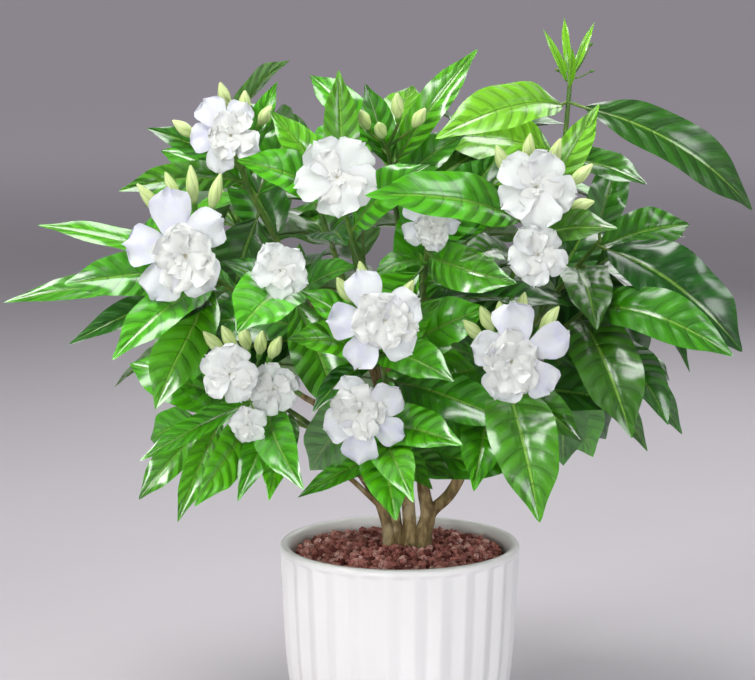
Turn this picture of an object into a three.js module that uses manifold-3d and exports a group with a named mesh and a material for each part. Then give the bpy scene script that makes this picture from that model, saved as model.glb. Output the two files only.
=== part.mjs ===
// A potted gardenia: a small bushy shrub with glossy opposite leaves and white
// double flowers, growing in a fluted white ceramic pot dressed with lava grit.
// Millimetres, +Z up, the front faces -Y, the origin is the centre of the pot's foot.
import * as THREE from "three";
import Module from "manifold-3d";

const wasm = await Module();
wasm.setup();
const { CrossSection, Manifold, Mesh } = wasm;

// ---- driving dimensions -------------------------------------------------

const POT_HEIGHT = 135;
const POT_RIM_RADIUS = 80;
const POT_FLOOR = 9;
const POT_BAND_DEPTH = 5; // smooth band between the lip and the top of the flutes
const FLUTE_COUNT = 28;
const FLUTE_DEPTH = 1.8;
const FLUTE_STEPS = 2; // pot facets in one flute
// height and radius of the pot's outside, from the foot up to the flutes' top
const POT_PROFILE = [
  [0, 50],
  [3, 54.5],
  [13, 64],
  [34, 72.6],
  [80, 77.8],
];
// height and radius of the pot's inside
const POT_INSIDE = [
  [POT_FLOOR, 48],
  [20, 61],
  [60, 70.4],
  [POT_HEIGHT - 3, 73],
];
const POT_INSIDE_SIDES = 30;
const SOIL_SIDES = 18;

const SEAT_GAP = 0.3; // clearance between a piece and what carries it
const LEAF_GAP = 0.45; // least clearance between blades of two nodes

const POT_INSIDE_AT_GRIT = 72.3; // the pot's inner radius at the top of the soil
const SOIL_TOP = 121;
const SOIL_GAP = 0.42; // how far soil and grit stay inside the pot's wall
const GRIT_EDGE_TOP = 127.5;
const GRIT_CENTRE_TOP = 133;
const GRIT_GRAIN = 11.5; // spacing of the modelled grains
const GRIT_RELIEF = 1.5;

const ROOT_DEPTH = 52; // the root crown reaches this far below the soil's surface
const ROOT_RADIUS = 19;
const ROOT_X = 4;

const STEM_SIDES = 4;
const TRUNK_SIDES = 7;
const SHOOT_RADIUS = 1.9;
const SHOOT_TIP_RADIUS = 1.4;
const BRANCH_RADII = [2.8, 2.6, 2.2];
const BRANCH_STEP = 5; // branches leave a trunk this far below each other

const BLADE_THICK = 1.5; // a blade's thickness at its midrib
const PETIOLE_THICK = 2.2;
const PETAL_THICK = 1.3;
const LONG_LEAF = 105; // a longer leaf gets one more ring of vertices
const NARROW_LEAF = 12; // a narrower leaf is a plain one

// ---- small tools --------------------------------------------------------

const UP = new THREE.Vector3(0, 0, 1);
const FRONT = new THREE.Vector3(0, -1, 0);
const vec = (p) => new THREE.Vector3(p[0], p[1], p[2]);
const degrees = THREE.MathUtils.degToRad;
const mix = THREE.MathUtils.lerp;

// A stream of repeatable random numbers from 0 to 1.
function draws(seed) {
  let state = seed;
  return () => {
    state = (state + 0x6d2b79f5) | 0;
    let t = Math.imul(state ^ (state >>> 15), 1 | state);
    t = (t + Math.imul(t ^ (t >>> 7), 61 | t)) ^ t;
    return ((t ^ (t >>> 14)) >>> 0) / 4294967296;
  };
}

// A closed solid from points and triangles; it is turned right side out.
function solid(points, faces) {
  let volume = 0;
  for (const [a, b, c] of faces) {
    volume += points[a].dot(points[b].clone().cross(points[c]));
  }
  const turned = volume < 0 ? faces.map(([a, b, c]) => [a, c, b]) : faces;
  return new Manifold(
    new Mesh({
      numProp: 3,
      vertProperties: new Float32Array(points.flatMap((p) => [p.x, p.y, p.z])),
      triVerts: new Uint32Array(turned.flat()),
    }),
  );
}

// The part of `v` that is square to the unit vector `along`, as a unit vector.
function squareTo(v, along) {
  return v.clone().addScaledVector(along, -v.dot(along)).normalize();
}

// Rings of points joined into a skin. A ring of one point is an apex, and the
// two ends are closed. With `paired` the rings are blade sections, whose
// diagonals run alike on both faces.
function skin(rings, paired = false) {
  const points = rings.flat();
  const faces = [];
  let first = 0;
  for (let i = 0; i + 1 < rings.length; i++) {
    const here = rings[i].length;
    const next = first + here;
    const there = rings[i + 1].length;
    const sides = Math.max(here, there);
    for (let k = 0; k < sides; k++) {
      const m = (k + 1) % sides;
      if (here === 1) {
        faces.push([first, next + k, next + m]);
      } else if (there === 1) {
        faces.push([first + k, next, first + m]);
      } else if (paired && k % 2) {
        faces.push([first + k, next + k, first + m]);
        faces.push([first + m, next + k, next + m]);
      } else {
        faces.push([first + k, next + m, first + m]);
        faces.push([first + k, next + k, next + m]);
      }
    }
    first = next;
  }
  const last = rings.at(-1).length;
  for (let k = 1; k + 1 < rings[0].length; k++) {
    faces.push([0, k, k + 1]);
  }
  for (let k = 1; k + 1 < last; k++) {
    faces.push([first, first + k + 1, first + k]);
  }
  return solid(points, faces);
}

// A stem through the points of `path`, with a radius for each. A radius of 0
// makes an end pointed.
function stem(path, radii, sides = STEM_SIDES) {
  const rings = [];
  let across = null;
  for (let i = 0; i < path.length; i++) {
    const centre = path[i].clone();
    const along = path[Math.min(i + 1, path.length - 1)].clone();
    along.sub(path[Math.max(i - 1, 0)]).normalize();
    const seed = across ?? (Math.abs(along.x) < 0.8 ? new THREE.Vector3(1, 0, 0) : UP);
    across = squareTo(seed, along);
    const other = along.clone().cross(across);
    if (radii[i] === 0) {
      rings.push([centre]);
      continue;
    }
    const ring = [];
    for (let k = 0; k < sides; k++) {
      const turn = (2 * Math.PI * k) / sides;
      ring.push(
        centre
          .clone()
          .addScaledVector(across, radii[i] * Math.cos(turn))
          .addScaledVector(other, radii[i] * Math.sin(turn)),
      );
    }
    rings.push(ring);
  }
  return skin(rings);
}

// ---- blades: leaves and petals ------------------------------------------

// A blade runs from `base` to `tip` on an arched midrib, with its upper face
// towards `facing`. Its stations are [share of length, share of half width].
// It starts at a point behind its base, so that it is sunk in its stem.
// `free` is the blade without its sunk part, for the tests of clearance. A
// `plain` blade is flat above and keeled below, and has no waves.
function blade(shape) {
  const chord = shape.tip.clone().sub(shape.base);
  const length = chord.length();
  const along = chord.clone().normalize();
  const normal = squareTo(shape.facing, along).applyAxisAngle(along, degrees(shape.roll ?? 0));
  const bend = shape.base
    .clone()
    .addScaledVector(chord, shape.bendAt ?? 0.45)
    .addScaledVector(normal, 2 * shape.arc * length);
  const rib = new THREE.QuadraticBezierCurve3(shape.base, bend, shape.tip);
  const rings = shape.stations.map(([share, broad], i) => {
    const centre = rib.getPoint(share);
    const tangent = rib.getTangent(share);
    const turn = degrees((shape.twist ?? 0) * share);
    const up = squareTo(normal, tangent).applyAxisAngle(tangent, turn);
    const side = tangent.clone().cross(up);
    const half = (broad * shape.width) / 2;
    const thick = (i === 0 ? shape.rootThick : shape.thick * mix(1, 0.8, share)) / 2;
    const fold = degrees(shape.fold);
    const wave = i === 0 ? 0 : shape.wave * (i % 2 ? 1 : -1);
    const edge = (sign) =>
      centre
        .clone()
        .addScaledVector(side, sign * half * Math.cos(fold))
        .addScaledVector(up, half * Math.sin(fold) + sign * wave * broad);
    const under = centre.clone().addScaledVector(up, -thick);
    return shape.plain
      ? [edge(1), edge(-1), under.addScaledVector(up, -thick)]
      : [edge(1), centre.clone().addScaledVector(up, thick), edge(-1), under];
  });
  const start = shape.root ?? shape.base.clone().addScaledVector(rib.getTangent(0), -shape.sink);
  const paired = !shape.plain;
  return {
    full: skin([[start], ...rings, [shape.tip]], paired),
    free: skin([...rings.slice(1), [shape.tip]], paired),
  };
}

const SHORT_LEAF_OUTLINE = [
  [0.09, 0.1],
  [0.4, 1],
  [0.76, 0.62],
];
const LEAF_OUTLINE = [
  [0.08, 0.09],
  [0.3, 0.9],
  [0.6, 0.96],
  [0.85, 0.38],
];
const LONG_LEAF_OUTLINE = [
  [0.08, 0.08],
  [0.24, 0.8],
  [0.46, 1],
  [0.7, 0.8],
  [0.88, 0.28],
];

function leafBlade(leaf) {
  const long = leaf.tip.distanceTo(leaf.base) > LONG_LEAF;
  const outline = long ? LONG_LEAF_OUTLINE : LEAF_OUTLINE;
  const plain = leaf.plain || leaf.width < NARROW_LEAF;
  return blade({
    ...leaf,
    plain,
    stations: plain ? SHORT_LEAF_OUTLINE : outline,
    rootThick: Math.min(PETIOLE_THICK, leaf.width * 0.16 + 0.6),
    thick: BLADE_THICK,
    fold: plain ? 0 : 16,
    wave: plain ? 0 : leaf.width * 0.05,
    sink: SHOOT_RADIUS * 0.85,
  });
}

// ---- clearance: what is already placed ----------------------------------

const placed = [];

function boxesMeet(a, b, gap) {
  const p = a.boundingBox();
  const q = b.boundingBox();
  return [0, 1, 2].every((i) => p.min[i] - gap < q.max[i] && q.min[i] - gap < p.max[i]);
}

function apart(a, b, gap) {
  return !boxesMeet(a, b, gap) || a.minGap(b, gap * 2) >= gap;
}

// Pieces of other nodes keep LEAF_GAP, or nearly SEAT_GAP where one carries the
// other. Blades of one node meet only in their stem.
function isClear(piece, node, carrier) {
  return placed.every((other) => {
    if (other.node !== node) {
      const gap = other.node === carrier ? SEAT_GAP * 0.9 : LEAF_GAP;
      return apart(piece.full, other.full, gap);
    }
    if (!piece.free) {
      return true;
    }
    return (
      apart(piece.free, other.full, SEAT_GAP) &&
      (!other.free || apart(piece.full, other.free, SEAT_GAP))
    );
  });
}

const bodies = new Map(); // node name -> the solids that are fused into it

function keep(node, piece) {
  placed.push({ node, ...piece });
  if (!bodies.has(node)) {
    bodies.set(node, []);
  }
  bodies.get(node).push(piece.full);
}

// Tries `make(wander)` with a growing wander until the piece is clear.
function settle(node, make, tries = 36, carrier = "") {
  for (let i = 0; i < tries; i++) {
    const piece = make(i / tries);
    if (isClear(piece, node, carrier)) {
      keep(node, piece);
      return true;
    }
  }
  return false;
}

const spread = (random) => 2 * random() - 1;

function placeLeaf(node, leaf, random, reach = 26) {
  const chord = leaf.tip.clone().sub(leaf.base).normalize();
  const normal = squareTo(leaf.facing, chord);
  const side = chord.clone().cross(normal);
  const make = (wander) => {
    const tip = leaf.tip
      .clone()
      .addScaledVector(normal, reach * wander * spread(random))
      .addScaledVector(side, reach * wander * spread(random));
    return leafBlade({
      ...leaf,
      tip,
      arc: leaf.arc * (1 + 1.2 * wander * spread(random)),
      roll: (leaf.roll ?? 0) + 55 * wander * spread(random),
      width: leaf.width * (1 - 0.3 * wander * random()),
    });
  };
  return settle(node, make);
}

// ---- the pot, its soil and its grit -------------------------------------

function turned(profile, sides, radiusAt = (r) => r) {
  const rings = profile.map(([z, r]) => {
    const ring = [];
    for (let k = 0; k < sides; k++) {
      const turn = (2 * Math.PI * k) / sides;
      const radius = radiusAt(r, k, z);
      ring.push(new THREE.Vector3(radius * Math.cos(turn), radius * Math.sin(turn), z));
    }
    return ring;
  });
  return skin(rings);
}

function makePot() {
  const bandFoot = POT_HEIGHT - POT_BAND_DEPTH;
  const outside = [
    ...POT_PROFILE,
    [bandFoot - 3, POT_RIM_RADIUS - 0.7],
    [bandFoot, POT_RIM_RADIUS - 0.3],
    [POT_HEIGHT - 2.5, POT_RIM_RADIUS],
    [POT_HEIGHT, POT_RIM_RADIUS - 2.5],
  ];
  const fluted = (r, k, z) => {
    const inGroove = k % FLUTE_STEPS === 0;
    const fade = z >= bandFoot ? 0 : Math.min(1, 0.25 + z / 20);
    return r - (inGroove ? FLUTE_DEPTH * fade : 0);
  };
  const shell = turned(outside, FLUTE_COUNT * FLUTE_STEPS, fluted);
  const inside = turned(
    [...POT_INSIDE, [POT_HEIGHT + 1, 76]],
    POT_INSIDE_SIDES,
  );
  return shell.subtract(inside);
}

function makeSoil(roots) {
  const reach = POT_INSIDE.filter(([z]) => z < SOIL_TOP).map(([z, r], i) => [
    i === 0 ? z + SEAT_GAP : z,
    r - SOIL_GAP,
  ]);
  const fill = turned([...reach, [SOIL_TOP, POT_INSIDE_AT_GRIT - SOIL_GAP]], SOIL_SIDES);
  return fill.subtract(roots);
}

// A mounded disc whose upper face is a bed of grains on a jittered hex grid.
function makeGrit(roots) {
  const random = draws(411);
  const edge = POT_INSIDE_AT_GRIT - SOIL_GAP;
  const points = [];
  const rows = Math.round(edge / GRIT_GRAIN);
  const ringStart = [];
  for (let ring = 0; ring <= rows; ring++) {
    ringStart.push(points.length);
    const count = ring === 0 ? 1 : ring * 6;
    const radius = (edge * ring) / rows;
    for (let k = 0; k < count; k++) {
      const atWall = ring === rows;
      const turn = (2 * Math.PI * (k + (atWall ? 0 : 0.35 * spread(random)))) / count;
      const r = atWall ? edge : radius + 0.3 * GRIT_GRAIN * spread(random) * Math.sign(ring);
      const share = radius / edge;
      const mound = mix(GRIT_CENTRE_TOP, GRIT_EDGE_TOP, share * share);
      const z = mound + GRIT_RELIEF * spread(random);
      points.push(new THREE.Vector3(r * Math.cos(turn), r * Math.sin(turn), z));
    }
  }
  const faces = [];
  for (let ring = 0; ring < rows; ring++) {
    const inner = ring === 0 ? 1 : ring * 6;
    const outer = (ring + 1) * 6;
    let i = 0;
    for (let k = 0; k < outer; k++) {
      const a = ringStart[ring + 1] + k;
      const b = ringStart[ring + 1] + ((k + 1) % outer);
      faces.push([a, b, ringStart[ring] + (i % inner)]);
      const next = Math.floor(((k + 1) * inner) / outer + 1e-9);
      if (next > i && ring > 0) {
        faces.push([ringStart[ring] + (i % inner), b, ringStart[ring] + (next % inner)]);
        i = next;
      }
    }
  }
  const outer = rows * 6;
  const below = points.length;
  for (let k = 0; k < outer; k++) {
    const p = points[ringStart[rows] + k];
    points.push(new THREE.Vector3(p.x, p.y, SOIL_TOP + SEAT_GAP));
  }
  const middle = points.length;
  points.push(new THREE.Vector3(0, 0, SOIL_TOP + SEAT_GAP));
  for (let k = 0; k < outer; k++) {
    const m = (k + 1) % outer;
    const a = ringStart[rows] + k;
    const b = ringStart[rows] + m;
    faces.push([a, below + k, b]);
    faces.push([b, below + k, below + m]);
    faces.push([below + m, below + k, middle]);
  }
  return solid(points, faces).subtract(roots);
}

// ---- trunks and branches ------------------------------------------------

// Each trunk: its path from the soil up, and its radii from the foot to the top.
const TRUNKS = [
  { path: [[-7, 1, 105], [-7, 0, 136], [-12, 1, 158], [-24, 2, 182]], radii: [4.6, 3.8, 3.5, 3.3] },
  { path: [[-3, 4, 100], [-2, 3, 136], [-4, 6, 156], [-8, 14, 186]], radii: [5.4, 4.6, 4.1, 3.9] },
  { path: [[7, 1, 100], [7, 0, 136], [6, 0, 160], [3, -6, 188]], radii: [5.6, 4.7, 4.3, 3.9] },
  {
    path: [[13, 0, 100], [15, 0, 137], [19, 0, 152], [16, 0, 170], [15, 8, 190]],
    radii: [6.8, 5.9, 5.2, 4.3, 3.8],
  },
  {
    path: [[17, 0, 144], [21, 0, 155], [32, -1, 166], [39, -2, 178], [44, -3, 190]],
    radii: [4.2, 4.1, 3.9, 3.8, 3.6],
  },
];
const TWIG = { path: [[-14, 0, 160], [-30, -20, 180], [-54, -50, 207]], radii: [1.9, 1.7, 1.5] };

function trunkSolids(extra) {
  return TRUNKS.map(({ path, radii }) =>
    stem(
      path.map(vec),
      radii.map((r) => r + extra),
      TRUNK_SIDES,
    ),
  );
}

// The crown that the trunks grow from fills a plain hole in the soil, and its
// top is level with the soil. `extra` widens and `above` lengthens it.
function rootCrown(extra, above) {
  const path = [
    [ROOT_X, 1, SOIL_TOP - ROOT_DEPTH - extra],
    [ROOT_X, 1, SOIL_TOP - ROOT_DEPTH * 0.6],
    [ROOT_X, 1, SOIL_TOP + above],
  ];
  const radii = [ROOT_RADIUS * 0.6, ROOT_RADIUS, ROOT_RADIUS].map((r) => r + extra);
  return stem(path.map(vec), radii, TRUNK_SIDES);
}

// ---- the plan of the shrub ----------------------------------------------

// Shoots seen from the front. `path` runs from the branch to the shoot's tip,
// and each leaf gives: where it leaves the stem (share of its length), its tip,
// its width, how high it arches (share of its length), and its roll in degrees.
const FRONT_SHOOTS = [
  {
    name: "top_right",
    path: [[77, -30, 301], [93, -55, 352], [100, -68, 394], [104, -75, 446]],
    pairs: [0.45],
    leaves: [
      [0.88, [20, -115, 410], 32, 0.16, 0],
      [0.89, [220, -60, 362], 31, 0.17, 0],
      [0.96, [86, -85, 475], 8, 0.05, 0],
      [0.98, [100, -70, 482], 9, 0.04, 0],
      [0.97, [118, -78, 479], 8, 0.06, 0],
      [0.97, [103, -97, 464], 8, 0.05, 0],
      [0.66, [147, -120, 383], 20, 0.1, 0],
      [0.62, [53, -120, 382], 20, 0.1, 0],
    ],
  },
  {
    name: "by_bloom_6",
    path: [[58, -50, 285], [70, -92, 330], [76, -115, 364]],
    leaves: [
      [0.92, [-22, -175, 381], 31, 0.12, 0],
      [0.9, [117, -115, 431], 20, 0.08, 0],
      [0.74, [125, -165, 361], 24, 0.12, 0],
      [0.63, [32, -175, 343], 24, 0.1, 0],
    ],
  },
  {
    name: "by_bloom_3",
    path: [[-18, -70, 313], [-30, -108, 350], [-36, -130, 374]],
    leaves: [
      [0.92, [-96, -170, 401], 28, 0.12, 0],
      [0.88, [-79, -120, 427], 22, 0.1, 0],
      [0.9, [-38, -112, 451], 21, 0.05, 0],
      [0.66, [16, -150, 397], 27, 0.12, 0],
    ],
  },
  {
    name: "top_middle",
    path: [[3, -30, 308], [-3, -60, 362], [-8, -85, 400]],
    leaves: [
      [0.86, [46, -95, 463], 20, 0.08, 0],
      [0.88, [-57, -55, 446], 22, 0.14, 0],
      [0.8, [-23, -90, 441], 20, 0.06, 0],
      [0.69, [42, -90, 414], 24, 0.12, 0],
    ],
  },
  {
    name: "by_bloom_1",
    path: [[-64, -40, 316], [-89, -72, 365], [-101, -88, 396]],
    leaves: [
      [0.92, [-156, -90, 415], 15, 0.08, 0],
      [0.82, [-170, -120, 379], 20, 0.12, 0],
      [0.9, [-76, -80, 443], 14, 0.08, 0],
      [0.74, [-149, -70, 400], 24, 0.14, 0],
      [0.68, [-63, -60, 418], 26, 0.12, 0],
    ],
  },
  {
    name: "by_bloom_2",
    path: [[-70, -60, 280], [-102, -98, 315], [-124, -115, 334]],
    leaves: [
      [0.93, [-217, -110, 368], 17, 0.1, 0],
      [0.9, [-202, -135, 333], 27, 0.12, 0],
      [0.85, [-244, -100, 309], 16, 0.06, 0],
      [0.79, [-167, -180, 285], 28, 0.12, 0],
      [0.74, [-199, -140, 289], 20, 0.1, 0],
      [0.66, [-149, -175, 300], 16, 0.1, 0],
    ],
  },
  {
    name: "by_bloom_4",
    path: [[-44, -80, 264], [-60, -118, 305], [-70, -138, 326]],
    leaves: [
      [0.87, [-71, -185, 365], 26, 0.14, 0],
      [0.9, [-95, -200, 304], 38, 0.14, 0],
      [0.78, [-25, -170, 330], 24, 0.12, 0],
      [0.63, [-105, -150, 340], 20, 0.1, 0],
    ],
  },
  {
    name: "by_bloom_5",
    path: [[11, -60, 280], [14, -100, 322], [16, -118, 348]],
    leaves: [
      [0.9, [65, -165, 346], 30, 0.12, 0],
      [0.79, [-17, -175, 334], 18, 0.1, 0],
      [0.59, [39, -172, 355], 14, 0.08, 0],
      [0.93, [52, -130, 377], 24, 0.1, 0],
    ],
  },
  {
    name: "by_bloom_8",
    path: [[-6, -70, 237], [-12, -122, 274], [-16, -148, 292]],
    leaves: [
      [0.79, [29, -195, 276], 26, 0.12, 0],
      [0.85, [-53, -175, 329], 22, 0.12, 0],
      [0.76, [-67, -180, 298], 24, 0.12, 0],
      [0.54, [22, -160, 318], 24, 0.12, 0],
      [0.64, [-42, -195, 262], 18, 0.1, 0],
    ],
  },
  {
    name: "by_bloom_9",
    path: [[35, -50, 227], [54, -103, 257], [66, -133, 272]],
    leaves: [
      [0.86, [79, -200, 194], 38, 0.13, 0],
      [0.71, [42, -170, 206], 27, 0.1, 0],
      [0.9, [100, -185, 303], 30, 0.12, 0],
      [0.81, [107, -150, 232], 22, 0.1, 0],
      [0.64, [28, -160, 292], 24, 0.1, 0],
    ],
  },
  {
    name: "by_bloom_10",
    path: [[-3, -35, 191], [-14, -95, 220], [-20, -136, 238]],
    leaves: [
      [0.69, [-4, -190, 193], 30, 0.16, 0],
      [0.78, [6, -205, 207], 24, 0.14, 0],
      [0.87, [35, -190, 238], 28, 0.12, 0],
      [0.6, [18, -160, 205], 18, 0.1, 0],
      [0.42, [32, -130, 205], 18, 0.1, 0],
      [0.28, [-53, -90, 191], 12, 0.08, 0],
      [0.38, [-64, -110, 189], 13, 0.08, 0],
    ],
  },
  {
    name: "by_bloom_11",
    path: [[-45, -50, 214], [-72, -103, 244], [-90, -126, 257]],
    leaves: [
      [0.87, [-123, -195, 222], 37, 0.13, 0],
      [0.9, [-158, -140, 218], 15, 0.08, 0],
      [0.81, [-144, -170, 273], 16, 0.1, 0],
      [0.83, [-123, -160, 197], 26, 0.12, 0],
      [0.72, [-102, -170, 198], 20, 0.1, 0],
      [0.6, [-86, -180, 208], 20, 0.1, 0],
      [0.78, [-77, -205, 228], 30, 0.14, 0],
    ],
  },
  {
    name: "left_low",
    path: [[-52, -20, 214], [-96, -50, 233], [-127, -60, 228]],
    leaves: [
      [0.89, [-165, -80, 181], 20, 0.1, 0],
      [0.82, [-139, -100, 171], 17, 0.1, 0],
      [0.94, [-161, -40, 212], 24, 0.12, 0],
      [0.71, [-143, -90, 259], 26, 0.12, 0],
    ],
  },
  {
    name: "right_high",
    path: [[74, 4, 258], [104, -34, 312], [125, -60, 343]],
    leaves: [
      [0.95, [212, -85, 276], 42, 0.2, 0],
      [0.92, [137, -60, 398], 24, 0.12, 0],
      [0.9, [185, -30, 350], 28, 0.12, 0],
      [0.75, [117, -130, 296], 30, 0.12, 0],
    ],
  },
  {
    name: "right_low",
    path: [[52, -20, 234], [91, -60, 277], [118, -75, 304]],
    leaves: [
      [0.95, [203, -110, 274], 38, 0.16, 0],
      [0.9, [137, -150, 234], 40, 0.14, 0],
      [0.93, [179, -60, 219], 20, 0.1, 0],
      [0.76, [156, -70, 210], 18, 0.1, 0],
      [0.75, [119, -140, 255], 24, 0.1, 0],
    ],
  },
];

// Flower clusters. A bloom gives its centre, radius and kind: "open" blooms have
// separate spoon-shaped petals, "broad" ones overlapping petals. Each bud is its tip.
const CLUSTERS = [
  {
    name: "1",
    shoot: "by_bloom_1",
    blooms: [[-106, -118, 414, 24, "open"]],
    buds: [[-110, -98, 443], [-95, -97, 438], [-79, -97, 429], [-139, -98, 420]],
  },
  {
    name: "2",
    shoot: "by_bloom_2",
    blooms: [[-132, -150, 348, 34, "open"]],
    buds: [[-158, -128, 384], [-141, -128, 391], [-126, -127, 395], [-108, -128, 390]],
  },
  {
    name: "3",
    shoot: "by_bloom_3",
    blooms: [[-38, -168, 391, 24, "broad"]],
    buds: [],
  },
  {
    name: "top",
    shoot: "top_middle",
    blooms: [],
    buds: [[-25, -112, 427], [-14, -122, 420], [-3, -112, 437], [14, -112, 428]],
  },
  {
    name: "4",
    shoot: "by_bloom_4",
    blooms: [[-71, -172, 337, 17.5, "broad"]],
    buds: [],
  },
  {
    name: "5",
    shoot: "by_bloom_5",
    blooms: [[15, -150, 363, 18, "open"]],
    buds: [],
  },
  {
    name: "6",
    shoot: "by_bloom_6",
    blooms: [[78, -154, 384, 24, "broad"], [79, -160, 345, 18, "broad"]],
    buds: [[56, -132, 407], [76, -130, 414], [94, -130, 411], [113, -132, 396], [114, -134, 374]],
  },
  {
    name: "8",
    shoot: "by_bloom_8",
    blooms: [[-16, -190, 310, 30, "open"]],
    buds: [[-38, -172, 333], [-25, -168, 342], [6, -170, 331]],
  },
  {
    name: "9",
    shoot: "by_bloom_9",
    blooms: [[68, -174, 288, 31, "open"]],
    buds: [[36, -158, 306], [46, -156, 314], [57, -156, 317], [72, -154, 322], [92, -156, 314]],
  },
  {
    name: "10",
    shoot: "by_bloom_10",
    blooms: [[-22, -174, 251, 27, "open"]],
    buds: [],
  },
  {
    name: "11",
    shoot: "by_bloom_11",
    blooms: [
      [-101, -168, 276, 18.5, "broad"],
      [-76, -162, 266, 16.5, "broad"],
      [-91, -164, 245, 12, "broad"],
    ],
    buds: [[-118, -148, 298], [-107, -146, 301], [-95, -146, 302], [-83, -146, 298], [-72, -148, 295]],
  },
];

// Shoots that fill the sides, the back and the top by rule: the direction of
// each from the middle of the shrub (degrees from the front, and upwards).
const FILL_SHOOTS = [
  { turn: 98, rise: -18, bloom: 0 },
  { turn: 132, rise: -22, bloom: 0 },
  { turn: 168, rise: -20, bloom: 0 },
  { turn: 206, rise: -24, bloom: 28 },
  { turn: 246, rise: -20, bloom: 0 },
  { turn: 108, rise: 18, bloom: 0 },
  { turn: 148, rise: 22, bloom: 25 },
  { turn: 190, rise: 16, bloom: 30 },
  { turn: 228, rise: 22, bloom: 26 },
  { turn: 266, rise: 20, bloom: 0 },
  { turn: 142, rise: 54, bloom: 0 },
  { turn: 214, rise: 56, bloom: 0 },
  { turn: 84, rise: 66, bloom: 0 },
  { turn: 292, rise: 62, bloom: 0 },
];
const SHRUB_MIDDLE = [-6, 8, 292];
const SHRUB_REACH = [150, 128, 118]; // half axes of the shell that the shoots' tips lie on
const FILL_PAIRS = [0.3, 0.64, 0.95]; // where the pairs leave a stem
const FRONT_PAIRS = [0.45, 0.78];
const CLOSING_LEAVES = 27; // more leaves where the front of the crown is open
const CLOSING_DRAWS = 160;
const CLOSING_REACH = 1.25; // how far they reach, as a share of the shrub's reach
const TOP_SHARE = 0.9; // a pair above this share of its stem is its top pair
const TOP_PAIR_SIZE = 0.8;
const LEAF_LEAN = 0.5; // how far a leaf leans along its stem
const TOP_LEAF_LEAN = 1.05;
const LEAF_DROOP = 0.16; // how far a tip hangs, as a share of the leaf's length
const EYE = [-15, -1500, 495]; // where the front is seen from
const EYE_DISTANCE = 1400;
const LOWEST_TIP = 190; // the rule hangs no leaf lower than this
const FILL_LEAF = { length: 84, width: 31 };

// ---- growing ------------------------------------------------------------

const random = draws(20417);

function fillShoot(plan, index) {
  const turn = degrees(plan.turn);
  const rise = degrees(plan.rise);
  const way = new THREE.Vector3(
    Math.sin(turn) * Math.cos(rise),
    -Math.cos(turn) * Math.cos(rise),
    Math.sin(rise),
  );
  const tip = vec(SHRUB_MIDDLE).add(way.clone().multiply(vec(SHRUB_REACH)));
  const from = new THREE.Vector3(4, 4, 205).lerp(tip, 0.5);
  const bow = from.clone().lerp(tip, 0.55).addScaledVector(UP, 9);
  return { name: "fill_" + (index + 1), path: [from, bow, tip], way, leaves: [], bloom: plan.bloom };
}

const shoots = [
  ...FRONT_SHOOTS.map((s) => ({ ...s, path: s.path.map(vec), front: true })),
  ...FILL_SHOOTS.map(fillShoot),
];
for (const shoot of shoots) {
  shoot.node = "shoot_" + shoot.name;
  shoot.curve = new THREE.CatmullRomCurve3(shoot.path);
  shoot.start = shoot.curve.getTangent(0);
  shoot.end = shoot.curve.getTangent(1);
}

// A branch runs from the nearest trunk's top to just under its shoot.
function branchTo(shoot, index) {
  const foot = shoot.path[0];
  const tops = TRUNKS.map(({ path }) => [vec(path.at(-1)), vec(path.at(-2))]);
  tops.sort((a, b) => a[0].distanceTo(foot) - b[0].distanceTo(foot));
  const [top, under] = tops[0];
  const rise = top.clone().sub(under).normalize();
  const root = top.clone().addScaledVector(rise, -3 - BRANCH_STEP * (index % 4));
  const near = foot.clone().addScaledVector(shoot.start, -Math.min(16, foot.distanceTo(top) * 0.35));
  return stem([root, near, foot], BRANCH_RADII);
}

const woodParts = [
  ...trunkSolids(0),
  rootCrown(0, 0),
  stem(TWIG.path.map(vec), TWIG.radii),
  ...shoots.map(branchTo),
];
const wood = Manifold.union(woodParts);
keep("woody_stems", { full: wood });

for (const shoot of shoots) {
  const steps = [0, 0.35, 0.7, 1];
  const path = steps.map((s) => shoot.curve.getPoint(s));
  path[0].addScaledVector(shoot.start, SEAT_GAP);
  const radii = steps.map((s) => mix(SHOOT_RADIUS, SHOOT_TIP_RADIUS, s));
  shoot.solid = stem(path, radii);
}

// ---- blooms and buds ----------------------------------------------------

const TUBE_LENGTH = 15;
const PETAL_COUNT = 5;
const INNER_COUNT = 3;
const SMALL_BLOOM = 20; // a bloom of a smaller radius has only its outer petals
const INNER_REACH = 0.58;
const BLOOM_TRIES = 30;
const BLOOM_TURN = 1.6; // how much a bloom turns to the front from the outward way
// Outer petals: shares of the bloom's radius, along and across.
const PETALS = {
  open: [
    [0.52, 0.5],
    [0.84, 0.58],
  ],
  broad: [
    [0.48, 0.74],
    [0.82, 0.8],
  ],
};
const CLEFT = 0.17; // how far from the middle the petals part
const INNER_PETAL = [
  [0.2, 0.5],
  [0.68, 1],
];

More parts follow.
